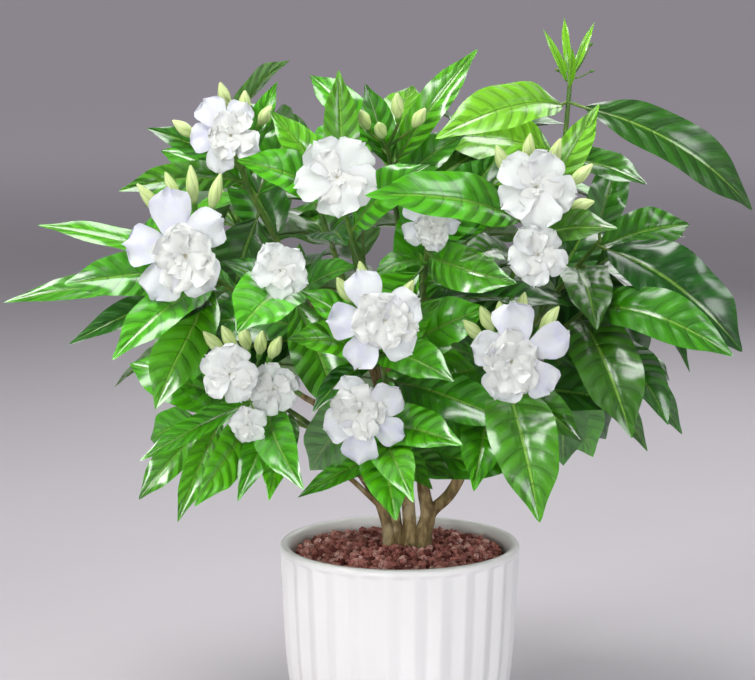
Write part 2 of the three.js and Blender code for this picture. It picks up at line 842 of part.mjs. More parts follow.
// The round of outer petals and the tube behind it, as one skin. Neighbouring
// petals share the point of the cleft between them, and each is rolled a little,
// so that its one edge passes over the next petal and its other edge under.
function corolla(centre, axis, radius, kind, phase, random) {
  const across = squareTo(UP, axis);
  const other = axis.clone().cross(across);
  const at = (turn, out, rise) =>
    centre
      .clone()
      .addScaledVector(across, radius * out * Math.cos(turn))
      .addScaledVector(other, radius * out * Math.sin(turn))
      .addScaledVector(axis, radius * rise);
  const points = [at(0, 0, -0.03)];
  const faces = [];
  const step = (2 * Math.PI) / PETAL_COUNT;
  const thick = PETAL_THICK / radius;
  for (let i = 0; i < PETAL_COUNT; i++) {
    const turn = phase + step * i + 0.1 * spread(random);
    const reach = 1 + 0.07 * spread(random);
    const lift = 0.06 * spread(random);
    points.push(at(phase + step * (i - 0.5), CLEFT, 0.02));
    points.push(at(turn, CLEFT * 1.15, 0.05), at(turn, CLEFT * 1.15, 0.05 - thick));
    for (const [share, broad] of PETALS[kind]) {
      const out = reach * share;
      const rise = lift + 0.3 * share - 0.26 * share * share;
      const half = Math.atan2(broad / 2, out);
      const long = Math.hypot(out, broad / 2);
      const tilt = 0.28 * (broad / 2);
      points.push(at(turn - half, long, rise + 0.03 - tilt), at(turn, out, rise));
      points.push(at(turn, out, rise - thick), at(turn + half, long, rise + 0.03 + tilt));
    }
    points.push(at(turn, reach, lift + 0.05));
  }
  const each = 3 + 4 * PETALS[kind].length + 1;
  for (let i = 0; i < PETAL_COUNT; i++) {
    const cleft = 1 + i * each;
    const next = 1 + ((i + 1) % PETAL_COUNT) * each;
    faces.push([0, cleft, cleft + 1], [0, cleft + 1, next]);
    let [left, top, under, right] = [cleft, cleft + 1, cleft + 2, next];
    for (let k = 0; k < PETALS[kind].length; k++) {
      const row = cleft + 3 + 4 * k;
      faces.push([left, row, row + 1], [left, row + 1, top]);
      faces.push([top, row + 1, right], [right, row + 1, row + 3]);
      faces.push([left, row + 2, row], [left, under, row + 2]);
      faces.push([under, right, row + 2], [right, row + 3, row + 2]);
      [left, top, under, right] = [row, row + 1, row + 2, row + 3];
    }
    const tip = cleft + each - 1;
    faces.push([left, tip, top], [top, tip, right], [left, under, tip], [under, right, tip]);
  }
  // the tube: from the round of clefts and claws down to the foot
  const count = points.length;
  for (const [along, width] of [[-TUBE_LENGTH * 0.5, 1.7], [-TUBE_LENGTH, 1.4]]) {
    for (let i = 0; i < PETAL_COUNT; i++) {
      points.push(at(phase + step * i, width / radius, along / radius));
    }
  }
  for (let i = 0; i < PETAL_COUNT; i++) {
    const m = (i + 1) % PETAL_COUNT;
    const cleft = 1 + i * each;
    const next = 1 + m * each;
    faces.push([cleft, count + i, cleft + 2], [cleft + 2, count + i, next]);
    faces.push([next, count + i, count + m]);
    faces.push([count + i, count + PETAL_COUNT + i, count + m]);
    faces.push([count + m, count + PETAL_COUNT + i, count + PETAL_COUNT + m]);
  }
  for (let i = 1; i + 1 < PETAL_COUNT; i++) {
    faces.push([count + PETAL_COUNT, count + PETAL_COUNT + i + 1, count + PETAL_COUNT + i]);
  }
  return solid(points, faces);
}

// The small inner petals that stand up around the throat.
function innerPetals(centre, axis, radius, phase, random) {
  const across = squareTo(UP, axis);
  const other = axis.clone().cross(across);
  const parts = [];
  for (let i = 0; i < INNER_COUNT; i++) {
    const turn = phase + (2 * Math.PI * (i + 0.5)) / INNER_COUNT + 0.15 * spread(random);
    const out = across.clone().multiplyScalar(Math.cos(turn));
    out.addScaledVector(other, Math.sin(turn));
    const base = centre.clone().addScaledVector(out, radius * 0.05);
    const way = out.clone().multiplyScalar(0.76).addScaledVector(axis, 0.62);
    parts.push(
      blade({
        base,
        tip: base.clone().addScaledVector(way, radius * INNER_REACH * (1 + 0.1 * spread(random))),
        facing: axis,
        roll: 10,
        width: radius * 0.58,
        arc: 0.14,
        bendAt: 0.4,
        stations: INNER_PETAL,
        rootThick: 1.6,
        thick: PETAL_THICK,
        fold: 14,
        wave: radius * 0.04,
        root: centre.clone().addScaledVector(axis, -radius * 0.13),
      }).full,
    );
  }
  return parts;
}

function bloom(centre, axis, radius, kind, phase, random) {
  const outer = corolla(centre, axis, radius, kind, phase, random);
  if (radius < SMALL_BLOOM) {
    return outer;
  }
  return Manifold.union([outer, ...innerPetals(centre, axis, radius, phase, random)]);
}

function placeBloom(node, item, random) {
  const make = (wander) => ({
    full: bloom(
      item.centre,
      item.axis,
      item.radius * (1 - 0.25 * wander),
      item.kind,
      item.phase + 1.2 * wander * spread(random),
      random,
    ),
  });
  settle(node, make, BLOOM_TRIES, item.carrier);
}

// A bud on its stalk: slim stalk, calyx, pointed corolla.
const BUD_SIDES = 4;
const BUD_RADII = [0.8, 0.9, 2.8, 0];

function budOn(hub, tip, lean) {
  const middle = hub.clone().lerp(tip, 0.45).add(lean);
  const belly = middle.clone().lerp(tip, 0.42);
  return stem([hub, middle, belly, tip], BUD_RADII, BUD_SIDES);
}

const clusters = [...CLUSTERS];
shoots
  .filter((s) => s.bloom)
  .forEach((shoot, i) => {
    const tip = shoot.path.at(-1);
    const way = shoot.way.clone().addScaledVector(UP, 0.25).normalize();
    const centre = tip.clone().addScaledVector(way, 36);
    const side = squareTo(UP, way);
    const other = way.clone().cross(side);
    const buds = i % 2 ? [-22, 0, 22].map((x) => [x, 30 - Math.abs(x) * 0.3]) : [];
    clusters.push({
      name: "fill_" + (i + 1),
      shoot: shoot.name,
      blooms: [[...centre.toArray(), shoot.bloom, i % 2 ? "broad" : "open"]],
      axis: way,
      buds: buds.map(([x, y]) =>
        tip
          .clone()
          .addScaledVector(way, 20)
          .addScaledVector(side, y)
          .addScaledVector(other, x)
          .toArray(),
      ),
    });
  });

const blooms = [];
for (const cluster of clusters) {
  const shoot = shoots.find((s) => s.name === cluster.shoot);
  const tip = shoot.path.at(-1);
  const end = shoot.end;
  const budNode = cluster.buds.length ? "buds_" + cluster.name : shoot.node;
  const parts = [];
  const hub = tip.clone().addScaledVector(end, cluster.buds.length ? SEAT_GAP : -1);
  const fork = hub.clone().addScaledVector(end, 4);
  if (cluster.buds.length) {
    parts.push(stem([hub, fork.clone().addScaledVector(end, 1)], [1.4, 1.5]));
  }
  cluster.blooms.forEach(([x, y, z, radius, kind], i) => {
    const centre = new THREE.Vector3(x, y, z);
    const outward = centre.clone().sub(vec(SHRUB_MIDDLE)).normalize();
    const axis = (cluster.axis ?? outward.addScaledVector(FRONT, BLOOM_TURN)).clone().normalize();
    const foot = centre.clone().addScaledVector(axis, -TUBE_LENGTH - SEAT_GAP);
    const from = cluster.buds.length ? fork : hub;
    const near = foot.clone().addScaledVector(axis, -4);
    parts.push(stem([from, near, foot], [1.2, 1.3, 1.5]));
    const names = cluster.blooms.length > 1 ? cluster.name + "_" + "abc"[i] : cluster.name;
    blooms.push({ node: "bloom_" + names, carrier: budNode, centre, axis, radius, kind, phase: random() });
  });
  for (const bud of cluster.buds) {
    const tipOfBud = vec(bud);
    const lean = squareTo(tipOfBud.clone().sub(tip), end).multiplyScalar(4);
    parts.push(budOn(fork, tipOfBud, lean));
  }
  if (cluster.buds.length) {
    keep(budNode, { full: Manifold.union(parts) });
  } else {
    shoot.solid = Manifold.union([shoot.solid, ...parts]);
  }
}

for (const shoot of shoots) {
  keep(shoot.node, { full: shoot.solid });
}
for (const item of blooms) {
  placeBloom(item.node, item, random);
}

// ---- leaves -------------------------------------------------------------

function leafBase(shoot, share) {
  return shoot.curve.getPointAt(share);
}

for (const shoot of shoots.filter((s) => s.front)) {
  for (const [share, tip, width, arc, roll] of shoot.leaves) {
    const facing = FRONT.clone().multiplyScalar(0.85).addScaledVector(UP, 0.55);
    placeLeaf(
      shoot.node,
      { base: leafBase(shoot, share), tip: vec(tip), width, arc, roll, facing, twist: 8 * spread(random) },
      random,
    );
  }
}

// Whether a leaf would stand in front of a bloom, seen from the front.
function hidesBloom(base, tip, width) {
  return blooms.some(({ centre, radius }) =>
    [0.3, 0.5, 0.7, 0.85, 1].some((share) => {
      const p = base.clone().lerp(tip, share);
      const clear = radius + width * 0.4;
      return p.y < centre.y + 12 && Math.hypot(p.x - centre.x, p.z - centre.z) < clear;
    }),
  );
}

// Opposite pairs, each pair square to the one before.
function growPairs(shoot, pairs, size) {
  pairs.forEach((share, i) => {
    const base = leafBase(shoot, share);
    const along = shoot.curve.getTangentAt(share);
    const level = along.clone().cross(UP).normalize();
    const flat = i % 2 === 0;
    const atTop = share > TOP_SHARE;
    const scale = atTop ? TOP_PAIR_SIZE : 1;
    for (const sign of [1, -1]) {
      const side = flat ? level.clone() : level.clone().cross(along).normalize();
      side.multiplyScalar(sign);
      const lean = atTop ? TOP_LEAF_LEAN : LEAF_LEAN;
      const way = side.addScaledVector(along, lean).addScaledVector(UP, -0.12).normalize();
      way.addScaledVector(level, 0.18 * spread(random)).normalize();
      const outward = base.clone().sub(vec(SHRUB_MIDDLE)).normalize();
      if (way.dot(outward) < -0.25) {
        continue;
      }
      const length = size.length * (1 + 0.22 * spread(random)) * scale;
      const width = size.width * (1 + 0.2 * spread(random)) * scale;
      const tip = base
        .clone()
        .addScaledVector(way, length)
        .addScaledVector(UP, -LEAF_DROOP * length);
      if (tip.z < LOWEST_TIP || (shoot.front && hidesBloom(base, tip, width))) {
        continue;
      }
      const facing = outward.multiplyScalar(0.6).addScaledVector(UP, 0.75);
      const roll = 12 * spread(random);
      const twist = 10 * spread(random);
      placeLeaf(shoot.node, { base, tip, width, arc: 0.13, roll, facing, twist, plain: true }, random);
    }
  });
}

for (const shoot of shoots.filter((s) => !s.front)) {
  growPairs(shoot, FILL_PAIRS, FILL_LEAF);
}
for (const shoot of shoots.filter((s) => s.front)) {
  growPairs(shoot, shoot.pairs ?? FRONT_PAIRS, FILL_LEAF);
}

// The outline of a solid as it is seen from in front of the plant, slightly from above.
function outlineOf(piece) {
  return piece
    .warp((v) => {
      const away = (v[1] - EYE[1]) / EYE_DISTANCE;
      [v[0], v[1], v[2]] = [(v[0] - EYE[0]) / away, (v[2] - EYE[2]) / away, -v[1]];
    })
    .project();
}

// Leaves that close the front of the crown: of many drawn leaves, each of which
// keeps within the crown, those that cover the most open background are tried first.
function closeFront() {
  let seen = CrossSection.union(placed.map(({ full }) => outlineOf(full)));
  for (let count = 0; count < CLOSING_LEAVES; count++) {
    let best = null;
    for (let i = 0; i < CLOSING_DRAWS; i++) {
      const shoot = shoots[Math.floor(random() * FRONT_SHOOTS.length)];
      const share = mix(0.05, 0.8, random());
      const base = leafBase(shoot, share);
      const turn = 2 * Math.PI * random();
      const way = new THREE.Vector3(Math.cos(turn), 0.5 * spread(random) - 0.1, Math.sin(turn));
      const length = FILL_LEAF.length * mix(0.75, 1.1, random());
      const tip = base.clone().addScaledVector(way.normalize(), length);
      const reach = tip.clone().sub(vec(SHRUB_MIDDLE)).divide(vec(SHRUB_REACH)).length();
      if (tip.z < LOWEST_TIP || reach > CLOSING_REACH || hidesBloom(base, tip, FILL_LEAF.width)) {
        continue;
      }
      const facing = FRONT.clone().multiplyScalar(0.9).addScaledVector(UP, 0.5);
      const leaf = { base, tip, width: FILL_LEAF.width, arc: 0.13, facing, twist: 0, plain: true };
      const piece = leafBlade(leaf);
      const gain = outlineOf(piece.full).subtract(seen).area();
      if ((!best || gain > best.gain) && isClear(piece, shoot.node, "")) {
        best = { gain, piece, node: shoot.node };
      }
    }
    if (!best) {
      return;
    }
    keep(best.node, best.piece);
    seen = seen.add(outlineOf(best.piece.full));
  }
}
closeFront();

// ---- the group ----------------------------------------------------------

const group = new THREE.Group();

function addNode(name, made) {
  const mesh = made.getMesh();
  const geometry = new THREE.BufferGeometry();
  const positions = new Float32Array(mesh.numVert * 3);
  for (let i = 0; i < mesh.numVert; i++) {
    positions.set(mesh.vertProperties.subarray(i * mesh.numProp, i * mesh.numProp + 3), i * 3);
  }
  geometry.setAttribute("position", new THREE.BufferAttribute(positions, 3));
  geometry.setIndex(new THREE.BufferAttribute(mesh.triVerts, 1));
  const part = new THREE.Mesh(geometry);
  part.name = name;
  group.add(part);
}

const HOLE_GAP = SEAT_GAP + 0.1;
addNode("pot", makePot());
addNode("potting_soil", makeSoil(rootCrown(HOLE_GAP, 2)));
addNode("lava_grit", makeGrit(Manifold.union(trunkSolids(HOLE_GAP))));
for (const [name, parts] of bodies) {
  addNode(name, Manifold.union(parts));
}

export default group;
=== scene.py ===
"""The look of the potted gardenia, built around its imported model."""
import math
import random

import bmesh
import bpy
from mathutils import Matrix, Vector, noise


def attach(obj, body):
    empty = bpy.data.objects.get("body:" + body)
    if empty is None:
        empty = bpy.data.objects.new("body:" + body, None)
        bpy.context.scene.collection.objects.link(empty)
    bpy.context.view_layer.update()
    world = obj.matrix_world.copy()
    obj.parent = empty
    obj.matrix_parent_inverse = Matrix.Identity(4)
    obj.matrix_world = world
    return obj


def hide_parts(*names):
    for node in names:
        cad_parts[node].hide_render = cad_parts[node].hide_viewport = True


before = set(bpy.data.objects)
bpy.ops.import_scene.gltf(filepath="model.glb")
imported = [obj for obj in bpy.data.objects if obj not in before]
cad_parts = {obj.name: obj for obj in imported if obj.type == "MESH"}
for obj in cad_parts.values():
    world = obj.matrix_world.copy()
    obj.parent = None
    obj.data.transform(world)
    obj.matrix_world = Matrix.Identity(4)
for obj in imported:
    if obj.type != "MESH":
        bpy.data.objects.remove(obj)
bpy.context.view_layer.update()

MM = 0.001
UP = Vector((0, 0, 1))
FRONT = Vector((0, -1, 0))
FULL_TURN = 2 * math.pi


def mm(*p):
    """A place given in millimetres."""
    return Vector(p) * MM


def mix(a, b, t):
    """The value at the share `t` of the way from `a` to `b`."""
    return a + (b - a) * t


def smooth(low, high, x):
    """0 below `low`, 1 above `high`, and a soft step between them."""
    t = min(1.0, max(0.0, (x - low) / (high - low)))
    return t * t * (3 - 2 * t)


def square_to(v, along):
    """The direction nearest to `v` at right angles to `along`."""
    return (v - along * v.dot(along)).normalized()


# ---- the shrub's plan, in millimetres, as in the solid model ----

FRONT_SHOOTS = {
    "top_right": [(77, -30, 301), (93, -55, 352), (100, -68, 394), (104, -75, 446)],
    "by_bloom_6": [(58, -50, 285), (70, -92, 330), (76, -115, 364)],
    "by_bloom_3": [(-18, -70, 313), (-30, -108, 350), (-36, -130, 374)],
    "top_middle": [(3, -30, 308), (-3, -60, 362), (-8, -85, 400)],
    "by_bloom_1": [(-64, -40, 316), (-89, -72, 365), (-101, -88, 396)],
    "by_bloom_2": [(-70, -60, 280), (-102, -98, 315), (-124, -115, 334)],
    "by_bloom_4": [(-44, -80, 264), (-60, -118, 305), (-70, -138, 326)],
    "by_bloom_5": [(11, -60, 280), (14, -100, 322), (16, -118, 348)],
    "by_bloom_8": [(-6, -70, 237), (-12, -122, 274), (-16, -148, 292)],
    "by_bloom_9": [(35, -50, 227), (54, -103, 257), (66, -133, 272)],
    "by_bloom_10": [(-3, -35, 191), (-14, -95, 220), (-20, -136, 238)],
    "by_bloom_11": [(-45, -50, 214), (-72, -103, 244), (-90, -126, 257)],
    "left_low": [(-52, -20, 214), (-96, -50, 233), (-127, -60, 228)],
    "right_high": [(74, 4, 258), (104, -34, 312), (125, -60, 343)],
    "right_low": [(52, -20, 234), (91, -60, 277), (118, -75, 304)],
}
# a shoot at the side or the back: its turn from the front, its rise, and its bloom's kind, if any
FILL_SHOOTS = [
    (98, -18, None), (132, -22, None), (168, -20, None), (206, -24, "open"), (246, -20, None),
    (108, 18, None), (148, 22, "broad"), (190, 16, "open"), (228, 22, "broad"), (266, 20, None),
    (142, 54, None), (214, 56, None), (84, 66, None), (292, 62, None),
]
SHRUB_MIDDLE = mm(-6, 8, 292)
SHRUB_REACH = mm(150, 128, 118)
FILL_ROOT = mm(4, 4, 205)  # those shoots point away from here
FILL_START = 0.5  # where they start, as a share of the way to their tip
FILL_BEND = 0.55  # where they are bowed up, as a share of their length
FILL_BOW = 9  # and how far
FILL_BLOOM_RISE = 0.25  # how far their blooms look up
FILL_BLOOM_GAP = 36  # from the tip of the shoot to the bloom's middle

# the trunks and the fork of the right one: points from the foot up, and the radius at each
TRUNKS = [
    ([(-7, 1, 105), (-7, 0, 136), (-12, 1, 158), (-24, 2, 182)], [4.6, 3.8, 3.5, 3.3]),
    ([(-3, 4, 100), (-2, 3, 136), (-4, 6, 156), (-8, 14, 186)], [5.4, 4.6, 4.1, 3.9]),
    ([(7, 1, 100), (7, 0, 136), (6, 0, 160), (3, -6, 188)], [5.6, 4.7, 4.3, 3.9]),
    ([(13, 0, 100), (15, 0, 137), (19, 0, 152), (16, 0, 170), (15, 8, 190)],
     [6.8, 5.9, 5.2, 4.3, 3.8]),
    ([(17, 0, 144), (21, 0, 155), (32, -1, 166), (39, -2, 178), (44, -3, 190)],
     [4.2, 4.1, 3.9, 3.8, 3.6]),
]
ROOTED_TRUNKS = 4  # the first ones, which rise from the soil
TWIG = ([(-14, 0, 160), (-30, -20, 180), (-54, -50, 207)], [1.9, 1.7, 1.5])

# cluster: shoot, blooms (middle, kind), whether it has buds
CLUSTERS = {
    "1": ("by_bloom_1", [(-106, -118, 414, "open")], True),
    "2": ("by_bloom_2", [(-132, -150, 348, "open")], True),
    "3": ("by_bloom_3", [(-38, -168, 391, "broad")], False),
    "top": ("top_middle", [], True),
    "4": ("by_bloom_4", [(-71, -172, 337, "broad")], False),
    "5": ("by_bloom_5", [(15, -150, 363, "open")], False),
    "6": ("by_bloom_6", [(78, -154, 384, "broad"), (79, -160, 345, "broad")], True),
    "8": ("by_bloom_8", [(-16, -190, 310, "open")], True),
    "9": ("by_bloom_9", [(68, -174, 288, "open")], True),
    "10": ("by_bloom_10", [(-22, -174, 251, "open")], False),
    "11": ("by_bloom_11", [
        (-101, -168, 276, "broad"), (-76, -162, 266, "broad"), (-91, -164, 245, "broad"),
    ], True),
}
TUBE_LENGTH = 15.3 * MM  # of the narrow tube behind a bloom
BLOOM_TURN = 1.6  # how much a bloom at the front looks forwards, against outwards
STALK_GRIP = 0.3  # how far a stalk starts past the end of its shoot
STALK_RUN = 4  # its straight length at either end


def flowing(points, count):
    """Evenly stepped points on the smooth line through `points`."""
    pts = [Vector(p) for p in points]
    ends = [pts[0] * 2 - pts[1]] + pts + [pts[-1] * 2 - pts[-2]]
    out = []
    for i in range(count + 1):
        at = (len(pts) - 1) * i / count
        k = min(int(at), len(pts) - 2)
        w = at - k
        p0, p1, p2, p3 = ends[k : k + 4]
        d0, d1, d2 = ((b - a).length ** 0.5 for a, b in ((p0, p1), (p1, p2), (p2, p3)))
        t1 = ((p1 - p0) / d0 - (p2 - p0) / (d0 + d1) + (p2 - p1) / d1) * d1
        t2 = ((p2 - p1) / d1 - (p3 - p1) / (d1 + d2) + (p3 - p2) / d2) * d1
        square = p1 * -3 + p2 * 3 - t1 * 2 - t2
        cube = p1 * 2 - p2 * 2 + t1 + t2
        out.append(p1 + t1 * w + square * w**2 + cube * w**3)
    return out


def evened(line, count):
    """The same line with its points at equal distances."""
    run = [0.0]
    for a, b in zip(line, line[1:]):
        run.append(run[-1] + (b - a).length)
    out = []
    k = 0
    for i in range(count + 1):
        want = run[-1] * i / count
        while k < len(run) - 2 and run[k + 1] < want:
            k += 1
        out.append(line[k].lerp(line[k + 1], (want - run[k]) / (run[k + 1] - run[k])))
    return out


def thinning(first, last, count, fall=1.0):
    """`count` radii from `first` to `last`, both in millimetres."""
    return [mix(first, last, (k / (count - 1)) ** fall) * MM for k in range(count)]


def fill_shoot(turn, rise):
    """The path of a shoot at the sides or the back, and the way that it points."""
    turn, rise = math.radians(turn), math.radians(rise)
    level = math.cos(rise)
    way = Vector((math.sin(turn) * level, -math.cos(turn) * level, math.sin(rise)))
    tip = SHRUB_MIDDLE + way * SHRUB_REACH
    start = FILL_ROOT.lerp(tip, FILL_START)
    return [start, start.lerp(tip, FILL_BEND) + UP * FILL_BOW * MM, tip], way


shoots = {name: [mm(*p) for p in path] for name, path in FRONT_SHOOTS.items()}
clusters = dict(CLUSTERS)
for number, (turn, rise, kind) in enumerate(FILL_SHOOTS, 1):
    shoot = f"fill_{number}"
    shoots[shoot], way = fill_shoot(turn, rise)
    if kind:
        axis = (way + UP * FILL_BLOOM_RISE).normalized()
        centre = shoots[shoot][-1] + axis * FILL_BLOOM_GAP * MM
        cluster = f"fill_{len(clusters) - len(CLUSTERS) + 1}"
        clusters[cluster] = (shoot, [(*(centre / MM), kind)], kind == "broad", axis)


# ---- building with bmesh ----

WELD = 2e-6  # points nearer to each other than this are one
SHARP_TURN = math.radians(62)


def fresh():
    """An empty mesh with a UV map and a colour attribute."""
    bm = bmesh.new()
    bm.loops.layers.uv.new("UVMap")
    bm.loops.layers.float_color.new("marks")
    return bm


def lay(bm, verts, marks, spot=lambda v: (0, 0)):
    """The faces of the points get one colour attribute and the UV map that `spot(vert)` gives."""
    uvs = bm.loops.layers.uv["UVMap"]
    tint = bm.loops.layers.float_color["marks"]
    for f in {f for v in verts for f in v.link_faces}:
        f.smooth = True
        for loop in f.loops:
            loop[uvs].uv = spot(loop.vert)
            loop[tint] = marks


def patch(bm, across, along, place, marks, stretch=1.0):
    """A sheet: a grid whose points go where `place(u, v)` says, with u and v from 0 to 1.
    `marks` is the colour attribute of its corners, and `stretch` shortens the UV map along it."""
    made = bmesh.ops.create_grid(bm, x_segments=along, y_segments=across, size=1)["verts"]
    at = {v: ((v.co.x + 1) / 2, (1 - v.co.y) / 2) for v in made}
    lay(bm, made, marks, lambda v: (at[v][0] * stretch, at[v][1]))
    for v in made:
        v.co = place(*at[v])


def thicken(bm, depth):
    """Each sheet gets an underside, which is marked as one and meets the sheet at the margin."""
    bmesh.ops.remove_doubles(bm, verts=bm.verts, dist=WELD)
    bm.normal_update()
    low = {v: v.co - v.normal * (0 if v.is_boundary else depth) for v in bm.verts}
    copied = bmesh.ops.duplicate(bm, geom=bm.verts[:] + bm.edges[:] + bm.faces[:])
    for v, spot in low.items():
        copied["vert_map"][v].co = spot
    faces = [f for f in copied["geom"] if isinstance(f, bmesh.types.BMFace)]
    bmesh.ops.reverse_faces(bm, faces=faces)
    tint = bm.loops.layers.float_color["marks"]
    for f in faces:
        for loop in f.loops:
            first, _, third, _ = loop[tint]
            loop[tint] = (first, 1, third, 1)


def frames_along(path):
    """For each point of a path: the point, its direction and a side way that doesn't spin."""
    out = []
    side = None
    for i, p in enumerate(path):
        along = (path[min(i + 1, len(path) - 1)] - path[max(i - 1, 0)]).normalized()
        if side is None:
            side = Vector((1, 0, 0)) if abs(along.x) < 0.8 else UP
        side = square_to(side, along)
        out.append((p, along, side))
    return out


def edges_round(ring):
    """The edges between the points of a ring."""
    return list({e for v in ring for e in v.link_edges if e.other_vert(v) in ring})


def tube(bm, path, radii, sides, marks=(0, 0, 0, 1), relief=None):
    """A round stem: a circle drawn out ring by ring along the path, with a face at each end.
    `relief(turn, share)` is its surface, as a factor of the radius."""
    ring = bmesh.ops.create_circle(bm, cap_ends=True, radius=1, segments=sides)["verts"]
    at = {v: (0.0, i / sides) for i, v in enumerate(ring)}
    for i, (centre, along, side) in enumerate(frames_along(path)):
        share = i / (len(path) - 1)
        if i:
            drawn = bmesh.ops.extrude_edge_only(bm, edges=edges_round(ring))["geom"]
            ring = [v for v in drawn if isinstance(v, bmesh.types.BMVert)]
            near = [[e.other_vert(v) for e in v.link_edges] for v in ring]
            feet = [next(foot for foot in others if foot in at) for others in near]
            at.update({v: (share, at[foot][1]) for v, foot in zip(ring, feet)})
        over = along.cross(side)
        for v in ring:
            turn = FULL_TURN * at[v][1]
            radius = radii[i] * (relief(turn, share) if relief else 1)
            v.co = centre + (side * math.cos(turn) + over * math.sin(turn)) * radius
    bmesh.ops.contextual_create(bm, geom=edges_round(ring))
    lay(bm, at, marks, at.get)


def finish_piece(bm, name, material, slot, *nodes):
    """The mesh becomes a closed, outward piece that rides on the plant and stands for its nodes."""
    bmesh.ops.remove_doubles(bm, verts=bm.verts, dist=WELD)
    bmesh.ops.dissolve_degenerate(bm, dist=1e-7, edges=bm.edges)
    bmesh.ops.recalc_face_normals(bm, faces=bm.faces)
    for edge in bm.edges:
        edge.smooth = len(edge.link_faces) == 2 and edge.calc_face_angle() < SHARP_TURN
    mesh = bpy.data.meshes.new(name)
    bm.to_mesh(mesh)
    bm.free()
    mesh.materials.append(material)
    piece = bpy.data.objects.new(name, mesh)
    bpy.context.scene.collection.objects.link(piece)
    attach(piece, "root")
    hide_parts(*nodes)


# ---- materials ----

SOCKETS = {
    "colour": "Base Color",
    "rough": "Roughness",
    "coat": "Coat Weight",
    "coat_rough": "Coat Roughness",
    "coat_ior": "Coat IOR",
    "ior": "IOR",
    "specular": "Specular IOR Level",
    "sheen": "Sheen Weight",
    "scatter": "Subsurface Weight",
    "scatter_reach": "Subsurface Radius",
    "scatter_scale": "Subsurface Scale",
    "glow": "Emission Color",
    "glow_strength": "Emission Strength",
}


class Graph:
    """A material's node tree, with short calls for its nodes."""

    def __init__(self, name, **sockets):
        self.material = bpy.data.materials.new(name)
        self.material.use_nodes = True
        self.tree = self.material.node_tree
        self.shader = self.tree.nodes["Principled BSDF"]
        for key, value in sockets.items():
            self.shader.inputs[SOCKETS[key]].default_value = value

    def node(self, kind, inputs=(), **settings):
        """A new node with its settings, and with links or constants on its inputs."""
        made = self.tree.nodes.new("ShaderNode" + kind)
        for key, value in settings.items():
            setattr(made, key, value)
        for key, value in dict(inputs).items():
            self.put(value, made.inputs[key])
        return made

    def put(self, value, socket):
        """A node's or a socket's output, or else a constant, goes into a socket."""
        if isinstance(value, bpy.types.NodeSocket):
            self.tree.links.new(value, socket)
        elif isinstance(value, bpy.types.Node):
            self.tree.links.new(value.outputs[0], socket)
        else:
            socket.default_value = value

    def wire(self, **sockets):
        """Links or constants on the shader."""
        for key, value in sockets.items():
            self.put(value, self.shader.inputs[SOCKETS[key]])

    def place(self):
        """The place on the object."""
        return self.node("TexCoord").outputs["Object"]

    def spot(self):
        """The UV map: from foot to tip, and across or round."""
        split = self.node("SeparateXYZ", {0: self.node("UVMap", uv_map="UVMap")})
        return split.outputs[0], split.outputs[1]

    def marks(self):
        """The colour attribute's three channels."""
        colour = self.node("Attribute", attribute_name="marks").outputs["Color"]
        split = self.node("SeparateColor", {0: colour})
        return split.outputs[0], split.outputs[1], split.outputs[2]

    def noise(self, scale, detail=3.0, rough=0.55, where=None):
        """Soft noise from 0 to 1."""
        made = self.node("TexNoise", {"Scale": scale, "Detail": detail, "Roughness": rough})
        self.put(where or self.place(), made.inputs["Vector"])
        return made.outputs[0]

    def math(self, operation, a, b=0.0, c=0.0):
        return self.node("Math", {0: a, 1: b, 2: c}, operation=operation).outputs[0]

    def times(self, first, *others):
        """The product of all values."""
        for other in others:
            first = self.math("MULTIPLY", first, other)
        return first

    def ease(self, value, low, high, start=0.0, end=1.0):
        """A soft step from `start` to `end` while the value goes from `low` to `high`."""
        ends = {0: value, 1: low, 2: high, 3: start, 4: end}
        return self.node("MapRange", ends, interpolation_type="SMOOTHSTEP").outputs[0]

    def fade(self, value, low, high, start=1.0):
        """A soft step down to 0."""
        return self.ease(value, low, high, start, 0.0)

    def blend(self, share, a, b):
        """A colour between two others."""
        made = self.node("Mix", data_type="RGBA")
        self.put(share, made.inputs[0])
        self.put(a, made.inputs[6])
        self.put(b, made.inputs[7])
        return made.outputs[2]

    def finish(self, colour, rough, bumps, strength, depth):
        """The material with its colour and roughness, and with bumps of a depth in metres."""
        self.wire(colour=colour, rough=rough)
        made = self.node("Bump", {"Strength": strength, "Distance": depth, "Height": bumps})
        self.put(made, self.shader.inputs["Normal"])
        return self.material


def rgb(r, g, b):
    """A colour as seen on screen, as a linear one."""

    def linear(c):
        return c / 12.92 if c <= 0.04045 else ((c + 0.055) / 1.055) ** 2.4

    return linear(r), linear(g), linear(b), 1


VEIN_PAIRS = 9
VEIN_SLANT = 1.15  # how far a side vein has gone towards the tip at the margin, in spacings
VEIN_BEND = 1.25  # more than 1 where it starts more squarely from the midrib


